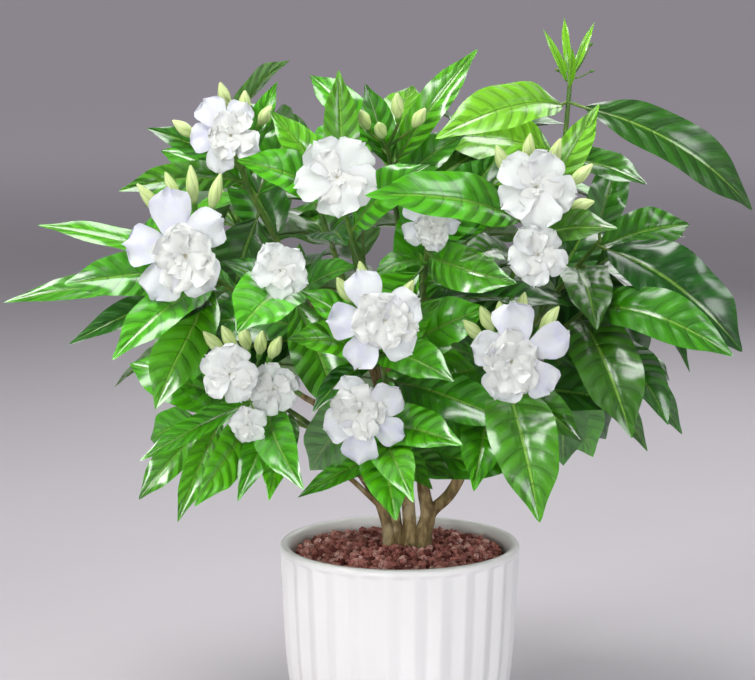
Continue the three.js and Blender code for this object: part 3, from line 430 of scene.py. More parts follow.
def leaf_material():
    """A glossy, quilted leaf. The marks are its tone, with painted shade towards the right, whether
    it is an underside, and how fresh and yellow-green it is, with painted backlight on a few
    leaves.
    """
    g = Graph("glossy_leaf", coat=1.0, coat_rough=0.2, coat_ior=1.68, ior=1.45, specular=0.3)
    u, v = g.spot()
    tone, under, young_and_backlit = g.marks()
    out = g.times(g.math("ABSOLUTE", g.math("SUBTRACT", v, 0.5)), 2.0)
    bent = g.math("POWER", out, VEIN_BEND)
    phase = g.math("SUBTRACT", g.times(u, VEIN_PAIRS), g.times(bent, VEIN_SLANT))
    near = g.math("PINGPONG", phase, 0.5)
    vein = g.times(g.fade(near, 0.02, 0.12), g.fade(out, 0.7, 0.95), g.fade(u, 0.84, 0.94))
    rib = g.fade(out, 0.035, 0.085)
    fine = g.noise(900.0, 2.0)

    deep, full = rgb(0.02, 0.31, 0.0), rgb(0.34, 0.75, 0.0)
    young_and_backlit_green = rgb(0.50, 0.78, 0.14)
    vein_groove_shade, light_rib = rgb(0.02, 0.22, 0.0), rgb(0.52, 0.72, 0.27)
    pale, pale_vein, pale_rib = rgb(0.46, 0.68, 0.33), rgb(0.36, 0.58, 0.27), rgb(0.62, 0.76, 0.45)
    # the tone mark carries painted shade towards the right
    pick = g.math("ADD", g.times(tone, 0.75), g.times(g.noise(60.0), 0.35))
    top = g.blend(g.ease(pick, 0.2, 0.95), deep, full)
    # a fresh yellow-green, which on a few leaves is painted backlight
    top = g.blend(young_and_backlit, top, young_and_backlit_green)
    # painted shade: darker green in the sunken side veins, less on fresh leaves
    top = g.blend(g.times(vein, g.fade(young_and_backlit, 0.9, 1.0, 0.2)), top, vein_groove_shade)
    top = g.blend(g.times(rib, 0.6), top, light_rib)
    below = g.blend(g.times(vein, 0.45), pale, pale_vein)
    below = g.blend(g.times(rib, 0.7), below, pale_rib)
    rough = g.math("ADD", g.times(under, 0.22), g.math("MULTIPLY_ADD", fine, 0.1, 0.3))

    quilt = g.times(g.ease(near, 0.0, 0.5), g.ease(out, 0.05, 0.3), g.fade(u, 0.86, 0.97))
    height = g.math("MULTIPLY_ADD", quilt, 0.8, g.times(vein, -0.35))
    height = g.math("ADD", height, g.times(rib, -0.5))
    height = g.times(height, g.ease(young_and_backlit, 0.9, 1.0, 1.0, 0.05))
    height = g.math("ADD", height, g.times(fine, 0.05))
    return g.finish(g.blend(under, top, below), rough, height, 1.0, 0.0023)


def stem_material():
    """Green young wood."""
    g = Graph("green_stem", coat=0.1, coat_rough=0.3)
    fine = g.noise(1200.0, 3.0)
    olive, light = rgb(0.30, 0.46, 0.16), rgb(0.47, 0.58, 0.24)
    colour = g.blend(g.ease(g.noise(90.0), 0.35, 0.7), olive, light)
    return g.finish(colour, g.math("MULTIPLY_ADD", fine, 0.2, 0.35), fine, 0.25, 0.0004)


def petal_material():
    """A soft white petal. The first mark makes it creamier, the third one adds a painted lavender
    shade, and its foot darkens into the throat colour, partly as painted shade.
    """
    g = Graph(
        "flower_petal", specular=0.25, sheen=0.15,
        scatter=0.35, scatter_reach=(0.004, 0.004, 0.005), scatter_scale=0.5,
    )
    u, v = g.spot()
    creamy, _, lavender_shade_share = g.marks()
    white, cream = rgb(0.85, 0.87, 0.86), rgb(0.87, 0.88, 0.85)
    lavender, throat = rgb(0.79, 0.79, 0.895), rgb(0.58, 0.54, 0.34)
    # painted shade: a lavender tint, broken up a little by noise
    colour = g.blend(g.times(lavender_shade_share, g.ease(g.noise(140.0), 0.3, 0.75, 0.35, 1.0)), white, lavender)
    colour = g.blend(g.times(creamy, 0.8), colour, cream)
    # the foot shades into the throat colour: a yellow-green of its own, darkened as painted shade
    # deep in the throat
    colour = g.blend(g.fade(u, 0.0, 0.09, 0.8), colour, throat)

    fan = g.times(g.math("SUBTRACT", v, 0.5), g.math("MULTIPLY_ADD", u, 30.0, 34.0))
    crinkle = g.noise(420.0, 4.0, 0.6)
    height = g.math("ADD", g.times(g.math("PINGPONG", fan, 0.5), 0.5), crinkle)
    return g.finish(colour, 0.62, height, 0.3, 0.0005)


def bud_material():
    """A pale bud with twisted seams, green at its calyx."""
    g = Graph("flower_bud", coat=0.2, coat_rough=0.25, specular=0.4)
    u, v = g.spot()
    cloud = g.noise(160.0)
    seam = g.math("PINGPONG", g.math("MULTIPLY_ADD", v, 5.0, g.times(u, 1.6)), 0.5)
    light_green, cream = rgb(0.76, 0.87, 0.48), rgb(0.91, 0.955, 0.73)
    seam_green, calyx_green = rgb(0.55, 0.66, 0.25), rgb(0.36, 0.60, 0.16)
    colour = g.blend(cloud, light_green, cream)
    colour = g.blend(g.fade(seam, 0.0, 0.12, 0.5), colour, seam_green)
    colour = g.blend(g.fade(u, 0.18, 0.30), colour, calyx_green)
    height = g.math("MULTIPLY_ADD", cloud, 0.3, g.ease(seam, 0.0, 0.2))
    return g.finish(colour, 0.42, height, 0.3, 0.0004)


def bark_material():
    """Brown bark with a grain along the stems, pale patches and a little green."""
    g = Graph("young_bark", specular=0.3)
    drawn_out = g.node("Mapping", {"Vector": g.place(), "Scale": (1, 1, 0.28)})
    grain = g.noise(240.0, 5.0, 0.62, drawn_out)
    patches = g.noise(55.0, 3.0)
    speck = g.noise(1500.0, 2.0)
    brown, tan = rgb(0.36, 0.29, 0.17), rgb(0.62, 0.54, 0.37)
    pale, mossy = rgb(0.74, 0.69, 0.55), rgb(0.30, 0.34, 0.14)
    colour = g.blend(g.ease(grain, 0.35, 0.68), brown, tan)
    colour = g.blend(g.ease(patches, 0.52, 0.66, 0.0, 0.55), colour, pale)
    colour = g.blend(g.fade(patches, 0.30, 0.42, 0.45), colour, mossy)
    rough = g.math("MULTIPLY_ADD", speck, 0.2, 0.6)
    return g.finish(colour, rough, g.math("MULTIPLY_ADD", speck, 0.25, grain), 0.7, 0.0012)


def glaze_material():
    """White glaze, a little uneven, with faint specks."""
    g = Graph("white_glaze", coat=0.2, coat_rough=0.25, ior=1.45)
    cloud = g.noise(12.0, 3.0)
    fine = g.noise(700.0, 3.0)
    white, bright, speck = rgb(0.945, 0.94, 0.937), rgb(0.96, 0.957, 0.955), rgb(0.72, 0.68, 0.62)
    colour = g.blend(g.ease(cloud, 0.35, 0.7), white, bright)
    colour = g.blend(g.ease(fine, 0.70, 0.80, 0.0, 0.12), colour, speck)
    rough = g.ease(cloud, 0.3, 0.75, 0.32, 0.42)
    return g.finish(colour, rough, g.math("MULTIPLY_ADD", fine, 0.15, cloud), 0.12, 0.0006)


def lava_material():
    """Porous red lava. The first mark is a granule's tone."""
    g = Graph("lava_stone", specular=0.25)
    tone = g.marks()[0]
    pores = g.noise(900.0, 4.0, 0.7)
    dark_red, red = rgb(0.42, 0.20, 0.18), rgb(0.77, 0.49, 0.45)
    pink, pore = rgb(0.93, 0.74, 0.70), rgb(0.20, 0.08, 0.08)
    colour = g.blend(g.ease(tone, 0.0, 0.55), dark_red, red)
    colour = g.blend(g.ease(tone, 0.55, 1.0), colour, pink)
    colour = g.blend(g.fade(pores, 0.38, 0.50, 0.8), colour, pore)
    return g.finish(colour, 0.85, pores, 0.9, 0.0012)


def soil_material():
    """Dark crumbs."""
    g = Graph("potting_soil")
    crumbs = g.noise(500.0, 5.0, 0.7)
    colour = g.blend(g.ease(crumbs, 0.3, 0.7), rgb(0.12, 0.08, 0.05), rgb(0.30, 0.22, 0.15))
    return g.finish(colour, 0.9, crumbs, 0.8, 0.002)


LEAF = leaf_material()
STEM = stem_material()
PETAL = petal_material()
BUD = bud_material()
BARK = bark_material()
GLAZE = glaze_material()
LAVA = lava_material()
SOIL = soil_material()

# ---- the pot, soil and grit ----

# the wall's profile as radius and height: up the outside and over the rim, then down the inside
POT_OUTSIDE = [
    (0, 0), (44, 0), (48.5, 0.2), (50.6, 1.2), (53, 3), (57.5, 7), (63.2, 13), (67.2, 19.5),
    (70.2, 26), (72.4, 34), (74.6, 46), (76.2, 60), (77.3, 76), (78.2, 95), (78.9, 112),
    (79.3, 121), (79.6, 126.5), (79.75, 128.6), (79.8, 129.4), (79.9, 130.2), (80, 131),
    (80, 132), (79.6, 133.7), (78.6, 134.7), (77.3, 135),
]
POT_INSIDE = [
    (75.6, 134.8), (74.4, 134), (73.5, 132.6), (73, 130.5), (72.6, 126), (71.6, 100), (70.4, 60),
    (61, 20), (48, 9.4), (0, 9),
]
POT_STEPS = 336  # round the pot
FLUTES = 28
FLUTE_DEPTH = 2.4
FLUTE_START = (0, 14)  # the heights between which a flute sets in
FLUTE_END = (128.4, 131.2)  # and between which it ends, under the rim band

GRIT_RADIUS = 72
GRIT_TOP = 132.4  # its height in the middle
GRIT_EDGE = 127.0  # and at the wall
BED_RADIUS = 71.6
BED_SINK = 3.2  # how far the bed lies under the granules' middles
BED_BOTTOM = 121.6
GRANULE_STEP = 4.0
GRANULE_ROW = 0.87  # one row's distance to the next, in steps
GRANULE_REACH = 70.8


def wall_middle(z):
    """The radius of the middle of the pot's wall at a height."""
    return mix(56, 75, smooth(10, 60, z)) if z > 8 else 0


def build_pot():
    """The wall's profile, spun into a bowl, with the flutes pressed into its outside."""
    bm = fresh()
    wall = [bm.verts.new(mm(r, 0, z)) for r, z in POT_OUTSIDE + POT_INSIDE]
    line = [bm.edges.new(pair) for pair in zip(wall, wall[1:])]
    bmesh.ops.spin(bm, geom=wall + line, axis=UP, angle=FULL_TURN, steps=POT_STEPS, use_merge=True)
    for v in bm.verts:
        reach = v.co.xy.length / MM
        z = v.co.z / MM
        if reach < 1 or reach < wall_middle(z):
            continue
        turn = math.atan2(v.co.y, v.co.x) / FULL_TURN
        groove = abs(2 * ((FLUTES * turn) % 1) - 1)
        depth = FLUTE_DEPTH * groove * smooth(*FLUTE_START, z) * (1 - smooth(*FLUTE_END, z))
        v.co.xy *= 1 - depth / reach
    for f in bm.faces:
        f.smooth = True
    finish_piece(bm, "fluted_pot", GLAZE, "white_glaze", "pot")


def grit_top(x, y):
    """The height of the grit's shallow dome."""
    share = min(1.0, math.hypot(x, y) / GRIT_RADIUS)
    return mix(GRIT_TOP, GRIT_EDGE, share * share)


def build_grit_bed(bm):
    """The layer that the granules lie in, with a dark tone that is painted shade in the gaps
    between them.
    """
    bed = bmesh.ops.create_circle(
        bm, cap_ends=True, cap_tris=True, radius=BED_RADIUS * MM, segments=48
    )["verts"]
    for v in bed:
        v.co.z = (grit_top(v.co.x / MM, v.co.y / MM) - BED_SINK) * MM
    under = bmesh.ops.extrude_face_region(bm, geom=bm.faces)["geom"]
    for v in under:
        if isinstance(v, bmesh.types.BMVert):
            v.co.z = BED_BOTTOM * MM
    # painted shade: a dark lava tone for the gaps between the granules
    lay(bm, bm.verts, (0.1, 0, 0, 1))


def build_grit():
    """Rough granules of all sizes on a shallow dome, clear of the trunks."""
    rng = random.Random(77)
    bm = fresh()
    build_grit_bed(bm)
    trunk_feet = [(p[0][0], p[0][1], r[0]) for p, r in TRUNKS[:ROOTED_TRUNKS]]
    rows = int(GRANULE_REACH / GRANULE_STEP) + 1
    spots = [(row, col) for row in range(-rows, rows + 1) for col in range(-rows, rows + 1)]
    for row, col in spots:
        x = (col + 0.5 * (row % 2)) * GRANULE_STEP + rng.uniform(-1, 1)
        y = row * GRANULE_STEP * GRANULE_ROW + rng.uniform(-1, 1)
        size = rng.uniform(1.9, 3.3)
        lift = rng.uniform(-1.8, 1.0)
        tone = min(1.0, max(0.0, rng.gauss(0.5, 0.27)))
        spin = rng.uniform(0, 6.3)
        turn = Matrix.Rotation(spin, 3, Vector([rng.gauss(0, 1) for _ in range(3)]))
        seed = Vector([rng.uniform(0, 90) for _ in range(3)])
        if math.hypot(x, y) > GRANULE_REACH - size:
            continue
        if any(math.hypot(x - a, y - b) < r + size * 0.5 for a, b, r in trunk_feet):
            continue
        made = bmesh.ops.create_icosphere(bm, subdivisions=1, radius=1)["verts"]
        lay(bm, made, (tone, 0, 0, 1))
        stretch = Vector((rng.uniform(0.8, 1.25), rng.uniform(0.75, 1.1), rng.uniform(0.65, 0.95)))
        spot = mm(x, y, grit_top(x, y) + lift)
        for v in made:
            bump = 1 + 0.75 * noise.noise(v.co * 1.3 + seed)
            v.co = spot + turn @ (v.co * stretch * (size * bump * MM))
    finish_piece(bm, "lava_granules", LAVA, "grit", "lava_grit")


# ---- woody stems ----

TRUNK_SIDES = 16
BRANCH_SIDES = 8
TRUNK_STEPS = 16
BRANCH_STEPS = 10
ROOT_SWELL = 0.35  # how much wider a trunk is at its foot
ROOT_HEIGHTS = (0.147, 0.128)  # where that starts and is full, in metres
BRANCH_RADII = (2.9, 2.0)


def bark_relief(seed):
    """Low bumps and three soft ribs."""

    def relief(turn, share):
        spot = Vector((math.cos(turn), math.sin(turn), share * 3)) * 1.3 + Vector((seed, 0, 0))
        return 1 + 0.1 * noise.noise(spot) + 0.05 * math.cos(3 * turn + seed)

    return relief


def build_wood():
    """Four trunks with a fork and a twig, and a bowed branch from them to each shoot."""
    bm = fresh()
    for i, (path, radii) in enumerate(TRUNKS + [TWIG]):
        line = flowing([mm(*p) for p in path], TRUNK_STEPS)
        spots = [k / TRUNK_STEPS * (len(radii) - 1) for k in range(TRUNK_STEPS + 1)]
        pairs = [(radii[int(s)], radii[min(int(s) + 1, len(radii) - 1)]) for s in spots]
        reach = [mix(*pair, s % 1) * MM for pair, s in zip(pairs, spots)]
        if i < ROOTED_TRUNKS:
            reach = [r * (1 + ROOT_SWELL * smooth(*ROOT_HEIGHTS, p.z)) for r, p in zip(reach, line)]
        sides = TRUNK_SIDES if i < len(TRUNKS) else BRANCH_SIDES
        tube(bm, line, reach, sides, relief=bark_relief(i * 7.7))
    tops = [(mm(*p[-1]), mm(*p[-2])) for p, _ in TRUNKS]
    for index, path in enumerate(shoots.values()):
        line = flowing(path, 12)
        foot = path[0]
        start = (line[1] - line[0]).normalized()
        top, below = min(tops, key=lambda t: (t[0] - foot).length)
        rise = (top - below).normalized()
        root = top + rise * (-3 - 5 * (index % 4)) * MM
        near = foot - start * min(16 * MM, (foot - top).length * 0.35)
        bow = flowing([root, near, foot], BRANCH_STEPS)
        radii = thinning(*BRANCH_RADII, len(bow))
        tube(bm, bow, radii, BRANCH_SIDES, relief=bark_relief(index * 3.1))
    finish_piece(bm, "trunks_and_branches", BARK, "bark", "woody_stems")


# ---- leaves ----

PETIOLE_SHARE = 0.075  # the share of a leaf's length that is its bare stalk
LEAF_DEPTH = 0.45 * MM
LEAF_FACES = (40, 10)  # along and across
SMALL_LEAF_FACES = (18, 6)
SMALL_LEAF = 8 * MM  # a leaf of less half width is a small one
FULL_LEAF = 85 * MM  # a leaf this long has all its vein pairs
LEAF_GIRTH = 1.1  # half width at the belly, against the solid's
LEAF_CUP = 0.5  # how much a blade is folded up along its midrib
LEAF_RUFFLE = 0.1  # how far its margin waves, as a share of its half width
LEAF_QUILT = 0.12  # how far it bulges between the side veins, likewise
RIB_STEPS = 48  # on a leaf's midrib
RIB_RADII = (1.15, 0.3)
STEM_RADII = (1.95, 1.4)
SPROUT_GIRTH = 0.55
SPROUT_CUP = 1.1
SPROUT_VEINS = 0.1
SPROUT_HEIGHT = 0.44  # the leaves above this on the tallest shoot are its folded young ones
SPROUT_TENDRILS = (((-0.9, -0.2, 0.55), 9), ((0.95, -0.25, 0.35), 13), ((0.5, -0.3, 0.9), 24))


def merged_copy(node):
    """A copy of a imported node's mesh with its points merged."""
    bm = bmesh.new()
    bm.from_mesh(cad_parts[node].data)
    bmesh.ops.remove_doubles(bm, verts=bm.verts, dist=1e-6)
    return bm


def rings_from(tip):
    """The rings of 3 or 4 points that follow a blade's tip, or None if it isn't one."""
    ring = [e.other_vert(tip) for e in tip.link_edges]
    count = len(ring)
    if count not in (3, 4):
        return None
    seen = {tip}
    rings = []
    while len(ring) == count and len(rings) < 5:
        if not all(any(e.other_vert(v) in ring for e in v.link_edges) for v in ring):
            break
        rings.append([v.co.copy() for v in ring])
        seen |= set(ring)
        ring = list({e.other_vert(v) for v in ring for e in v.link_edges} - seen)
    return rings


def section(ring):
    """Middle, half width and upper side of one ring of a blade."""
    pairs = [(a, b) for i, a in enumerate(ring) for b in ring[i + 1 :]]
    left, right = max(pairs, key=lambda p: (p[0] - p[1]).length)
    rest = [p for p in ring if p is not left and p is not right]
    edge = (left + right) / 2
    low = sum(rest, Vector()) / len(rest)
    middle = low if len(ring) == 4 else edge
    return middle, (left - right).length / 2, edge - low


def find_leaves(node, line):
    """Each leaf of a shoot: its midrib from stem to tip, its half width, its upper side and
    whether it is a plain one of few faces. Points too near to the stem's line aren't leaf tips."""
    bm = merged_copy(node)
    leaves = []
    for tip in bm.verts:
        rings = rings_from(tip)
        if not rings or len(rings) < 2:
            continue
        plain = len(rings[0]) == 3
        parts = [section(r) for r in rings[: 3 if plain else 5]]
        while len(parts) > 2 and parts[-1][1] > parts[-2][1] * 1.05:
            parts.pop()
        half = max(p[1] for p in parts)
        if (tip.co - parts[0][0]).length < 4 * MM or half < 2 * MM:
            continue
        if min((tip.co - p).length for p in line) < 12 * MM:
            continue
        last, before = parts[-1][0], parts[-2][0]
        way = (last - before).normalized()

        def missed(p):
            gap = p - last
            return (gap - way * max(0.0, gap.dot(way))).length + 0.2 * gap.length

        base = min(line, key=missed)
        up = sum((p[2].normalized() for p in parts), Vector()).normalized()
        ribs = [base] + [p[0] for p in reversed(parts)] + [tip.co.copy()]
        leaves.append((ribs, half, up, plain))
    bm.free()
    return leaves


def leaf_outline(s):
    """Half width of a blade at the share `s` of its length, tapered to a drip tip."""
    if s <= 0.0 or s >= 1.0:
        return 0.0
    body = math.sin(math.pi * s**0.9) ** 0.62
    return body * (1 - 0.5 * smooth(0.72, 0.98, s)) * (1 - 0.3 * (1 - smooth(0.0, 0.25, s)))


def leaf_tone_and_shade(tip):
    """How light a leaf is: a little at random, with painted light and shade that make it a little
    lighter at the left and darker towards the right.
    """
    # painted light and shade: a little lighter at the left, darker towards the right
    shade = 0.12 - 0.38 * smooth(0.03, 0.14, tip.x)
    return min(1.0, max(0.0, 0.5 + 0.75 * noise.noise(tip * 60) + shade))


def youth_and_backlight(tip, node):
    """How yellow-green a leaf is: the sprout at the top, painted backlight on the left leaves of
    the tallest shoot below it, and a leaf here and there.
    """
    # painted light: the left leaves below the sprout are made bright yellow-green for light shining
    # through them
    if node == "shoot_top_right":
        return 1.0 if tip.z > SPROUT_HEIGHT else 0.85 if tip.x < 0.06 else 0.08
    chance = 0.5 + 0.5 * noise.noise(tip * 45 + Vector((3, 7, 1)))
    return (0.15 + 0.6 * smooth(0.34, 0.40, tip.z)) * smooth(0.5, 0.72, chance)


def blade_frames(line, up, count):
    """Points on the midrib past the petiole, each with the blade's side and upper ways."""
    frames = []
    for i in range(count + 1):
        k = mix(PETIOLE_SHARE, 1.0, i / count) * RIB_STEPS
        j = min(int(k), RIB_STEPS - 1)
        way = (line[min(j + 1, RIB_STEPS)] - line[max(j - 1, 0)]).normalized()
        up = square_to(up, way)
        frames.append((line[j].lerp(line[j + 1], k - j), way.cross(up), up))
    return frames


def build_leaf(bm, ribs, half, up, plain, young_and_backlit, sprout):
    """A quilted, folded blade. The line and the radii of its petiole and midrib are returned."""
    line = evened(flowing(ribs, 64), RIB_STEPS)
    length = sum((b - a).length for a, b in zip(line, line[1:]))
    small = plain or half < SMALL_LEAF
    along, across = SMALL_LEAF_FACES if small else LEAF_FACES
    frames = blade_frames(line, up, along)
    phase = noise.noise(ribs[-1] * 60) * 40
    veins = SPROUT_VEINS if sprout else min(1.0, max(0.35, length / FULL_LEAF))
    girth, cup = (SPROUT_GIRTH, SPROUT_CUP) if sprout else (LEAF_GIRTH, LEAF_CUP)

    def place(u, v):
        p, side, lift = frames[round(u * along)]
        w = 2 * v - 1
        out = abs(w)
        shape = leaf_outline(u)
        width = half * girth * shape + 0.35 * MM * (1 - u)
        fold = width * cup * (out - 0.48 * out * out)
        wave = math.sin(u * 15 + phase + (2.1 if w > 0 else 0))
        ruffle = LEAF_RUFFLE * half * out**3 * wave * shape
        cell = (u * veins * VEIN_PAIRS - VEIN_SLANT * out**VEIN_BEND) % 1
        quilt = 0.0
        if not plain:
            quilt = LEAF_QUILT * half * math.sin(math.pi * cell) * out * (1 - out)
            quilt *= shape * (1 - smooth(0.86, 0.96, u))
        return p + side * (w * width) + lift * (fold + ruffle + quilt)

    patch(bm, across, along, place, (leaf_tone_and_shade(ribs[-1]), 0, young_and_backlit, 1), veins)
    rib = [p - up * (LEAF_DEPTH if k else 0) for k, p in enumerate(line[0:44:4])]
    slim = min(1.0, half / (9 * MM) + 0.3)
    return rib, [r * slim for r in thinning(*RIB_RADII, len(rib), 0.6)]


def tendril(bm, foot, way, reach):
    """A hair-thin stalk with a tiny bud at its end, beside the sprout."""
    bow = flowing([foot, foot + way * reach * 0.5 - UP * 0.08 * reach, foot + way * reach], 10)
    knob = [bow[-1] + way * x * MM for x in (-0.4, 0.3, 1.2, 2.0, 2.6)]
    tube(bm, bow, thinning(0.55, 0.35, len(bow)), 6)
    tube(bm, knob, [r * MM for r in (0.4, 0.85, 1.0, 0.75, 0.3)], 8)


def build_shoot(name, path):
    """The stem of a shoot, its leaves, and the bare stalks of its blooms."""
    node = "shoot_" + name
    blades = fresh()
    stems = fresh()
    shown = flowing(path, 16)
    shown[0] = shown[0] + (shown[1] - shown[0]).normalized() * 0.3 * MM
    tube(stems, shown, thinning(*STEM_RADII, len(shown)), 10)
    for ribs, half, up, plain in find_leaves(node, flowing(path, 40)):
        sprout = name == "top_right" and ribs[-1].z > SPROUT_HEIGHT
        rib, radii = build_leaf(blades, ribs, half, up, plain, youth_and_backlight(ribs[-1], node), sprout)
        tube(stems, rib, radii, 6)
    for shoot, blooms, has_buds, *given in clusters.values():
        if shoot == name and not has_buds:
            for stalk in bloom_stalks(shoot, blooms, given):
                tube(stems, stalk, [1.25 * MM] * len(stalk), 8)
    if name == "top_right":
        for way, reach in SPROUT_TENDRILS:
            tendril(stems, path[-1] - UP * 1.5 * MM, Vector(way).normalized(), reach * MM)
    thicken(blades, LEAF_DEPTH)
    finish_piece(blades, "leaves_" + name, LEAF, "leaf", node)
    finish_piece(stems, "stem_" + name, STEM, "leaf", node)


# ---- blooms and buds ----

PETAL_FACES = 10  # each way
PETAL_DEPTH = 0.35 * MM
# a petal's shape: how fast it widens, how blunt it ends, how deep its edge is notched, its crimp
SPREAD = (0.7, 7, 0.02, 0.9)  # a spoon-shaped petal of an open flower
BROAD = (0.55, 6, 0.04, 1.15)  # a broad petal with a notched edge
FRILL = (0.55, 5, 0.05, 1.05)  # a crimped inner petal
OUTER_PETALS = 5
# The outer petals: the range of their half width, their shape, their twist in radians, their
# ruffle, and their painted lavender shade, less where the heart leans. The heart: how far it leans,
# and the count, reach, half width, rise and ruffle of each round. Lengths are shares of the radius.
KINDS = {
    "open": dict(
        half=(0.46, 0.56), shape=SPREAD, twist=0.1, ruffle=0.17, tint=(0.65, 0.35), heart=0.2,
        rounds=[(5, 0.62, 0.42, 0.2, 0.16), (3, 0.44, 0.34, 0.38, 0.19), (2, 0.22, 0.17, 0.6, 0.2)],
    ),
    "broad": dict(
        half=(0.58, 0.68), shape=BROAD, twist=0.16, ruffle=0.12, tint=(0.12, 0.0), heart=0.0,
        rounds=[(3, 0.68, 0.5, 0.1, 0.12), (3, 0.22, 0.15, 0.45, 0.16)],
    ),
}
# the way that the double heart of an open flower leans, seen from the front, in degrees
LEANS = {
    "bloom_1": -30, "bloom_2": -40, "bloom_5": -60, "bloom_8": 12, "bloom_9": 212, "bloom_10": 125,
}
OTHER_LEAN = -70
NECK_SHARES = (0.3, 0.7, 0.93)  # rings of a bloom's tube between its foot and its throat
NECK_RADII = (1.3, 1.5, 1.6, 2.0, 2.4)
# a bud's radius at even steps from its calyx to its point
BUD_GIRTH = (
    1.1, 1.7, 2.0, 1.9, 2.0, 2.6, 3.2, 3.6, 3.8, 3.85, 3.75, 3.5, 3.1, 2.6, 2.0, 1.35, 0.6,
)


def bloom_axis(centre, given):
    """The way that a bloom looks: the given one, or else outwards and forwards."""
    if given:
        return given[0]
    outward = (centre - SHRUB_MIDDLE).normalized()
    return (outward + FRONT * BLOOM_TURN).normalized()


def fork_of(shoot):
    """Where the stalks at the end of a shoot start and where they part, and its way there."""
    tip = shoots[shoot][-1]
    line = flowing(shoots[shoot], 40)
    end = (line[-1] - line[-2]).normalized()
    return tip + end * STALK_GRIP * MM, tip + end * STALK_RUN * MM, end


def bloom_stalks(shoot, blooms, given):
    """A curved line from the end of the shoot to the tube of each of its blooms."""
    hub, fork, _ = fork_of(shoot)
    out = []
    for x, y, z, _ in blooms:
        centre = mm(x, y, z)
        axis = bloom_axis(centre, given)
        foot = centre - axis * TUBE_LENGTH
        out.append(flowing([hub, fork, foot - axis * STALK_RUN * MM, foot], 10))
    return out


def petal(bm, centre, axis, out, reach, half, rise, ruffle, seed, marks, shape, curl):
    """One petal from the throat outwards: a thin blade with a rounded, ruffled end."""
    widens, blunt, notch, crimp = shape
    side = out.cross(axis)

    def place(s, v):
        w = 2 * v - 1
        width = s**widens * (1 - 0.97 * s**blunt) ** 0.5
        jag = math.sin(w * 7 + seed * 9) + 0.6 * math.sin(w * 15 + seed * 23)
        end = 1 - 0.07 * w * w + notch * jag * s
        far = (0.02 + 0.98 * s) * reach * end
        wide = half * width * w * (1 + notch * math.sin(s * 19 + seed * 7) * abs(w))
        edge = abs(w) ** 1.6 * s
        wave = ruffle * half * (
            edge * math.sin(s * 8 * crimp + seed * 11 + (1.7 if w > 0 else 0))
            + s**3 * 0.8 * math.sin(w * 5.5 * crimp + seed * 17)
        )
        crease = 0.035 * half * s * noise.noise(Vector((s * 4, w * 4, seed * 31)))
        height = rise(s) * reach + wave + crease + curl * half * w * w * s
        return centre + out * far + side * wide + axis * height

    patch(bm, PETAL_FACES, PETAL_FACES, place, marks)


def petal_tips(node, centre, axis):
    """The outer petal tips of the solid bloom, each as a reach along its face and a height above
    it, then the way to the furthest tip and the way square to that."""
    solid = merged_copy(node)
    gaps = [v.co - centre for v in solid.verts]
    solid.free()
    flat = [(gap - axis * gap.dot(axis), gap.dot(axis)) for gap in gaps]
    off_axis = [f for f in flat if f[0].length > 1e-5]
    base_way = max(off_axis, key=lambda f: f[0].length)[0].normalized()
    other = axis.cross(base_way)
    near_enough = math.cos(math.radians(24))
    tips = []
    for i in range(OUTER_PETALS):
        turn = FULL_TURN * i / OUTER_PETALS
        way = base_way * math.cos(turn) + other * math.sin(turn)
        near = [f for f in off_axis if f[0].normalized().dot(way) > near_enough]
        tips.append(max(near, key=lambda f: f[0].length))
    return tips, base_way, other


def build_outer_petals(bm, centre, axis, tips, radius, low, kind, rng, seed):
    """One petal to each tip of the solid's."""
    for i, (gap, tip_height) in enumerate(tips):
        reach = gap.length
        out = gap.normalized()
        turned = Matrix.Rotation(kind["twist"], 3, out) @ axis
        top = tip_height / reach
        swell = rng.uniform(0.1, 0.3)

        def rise(s, top=top, swell=swell):
            return 0.02 + swell * s * (1 - s) + (top - 0.02) * s

        half = radius * rng.uniform(*kind["half"])
        # painted shade: how lavender the petal is, less where the heart leans
        tint = kind["tint"][0] - kind["tint"][1] * out.dot(low)
        foot = centre - axis * 0.4 * MM * (i % 2)
        petal(
            bm, foot, turned, out, reach, half, rise, kind["ruffle"],
            seed + i * 1.37, (0.05, 0, tint, 1), kind["shape"], rng.uniform(-0.1, 0.12),
        )


def build_inner_petals(bm, heart, axis, base_way, other, radius, kind, rng, seed):
    """The crimped rounds of the bloom's heart."""
    for count, far_share, half_share, steep, ruffle in kind["rounds"]:
        phase = rng.uniform(0, 6.28)
        for i in range(count):
            turn = phase + FULL_TURN * (i + rng.uniform(-0.22, 0.22)) / count
            out = base_way * math.cos(turn) + other * math.sin(turn)
            reach = radius * far_share * rng.uniform(0.85, 1.12)
            half = radius * half_share * rng.uniform(0.9, 1.15)

            def rise(s, steep=steep):
                return steep * (s - 0.55 * s * s) + 0.03

            # the heart is creamy, with a little painted lavender shade
            petal(
                bm, heart, axis, out, reach, half, rise, ruffle,
                seed + turn, (0.75, 0, 0.25, 1), FRILL, rng.uniform(-0.2, 0.3),
            )


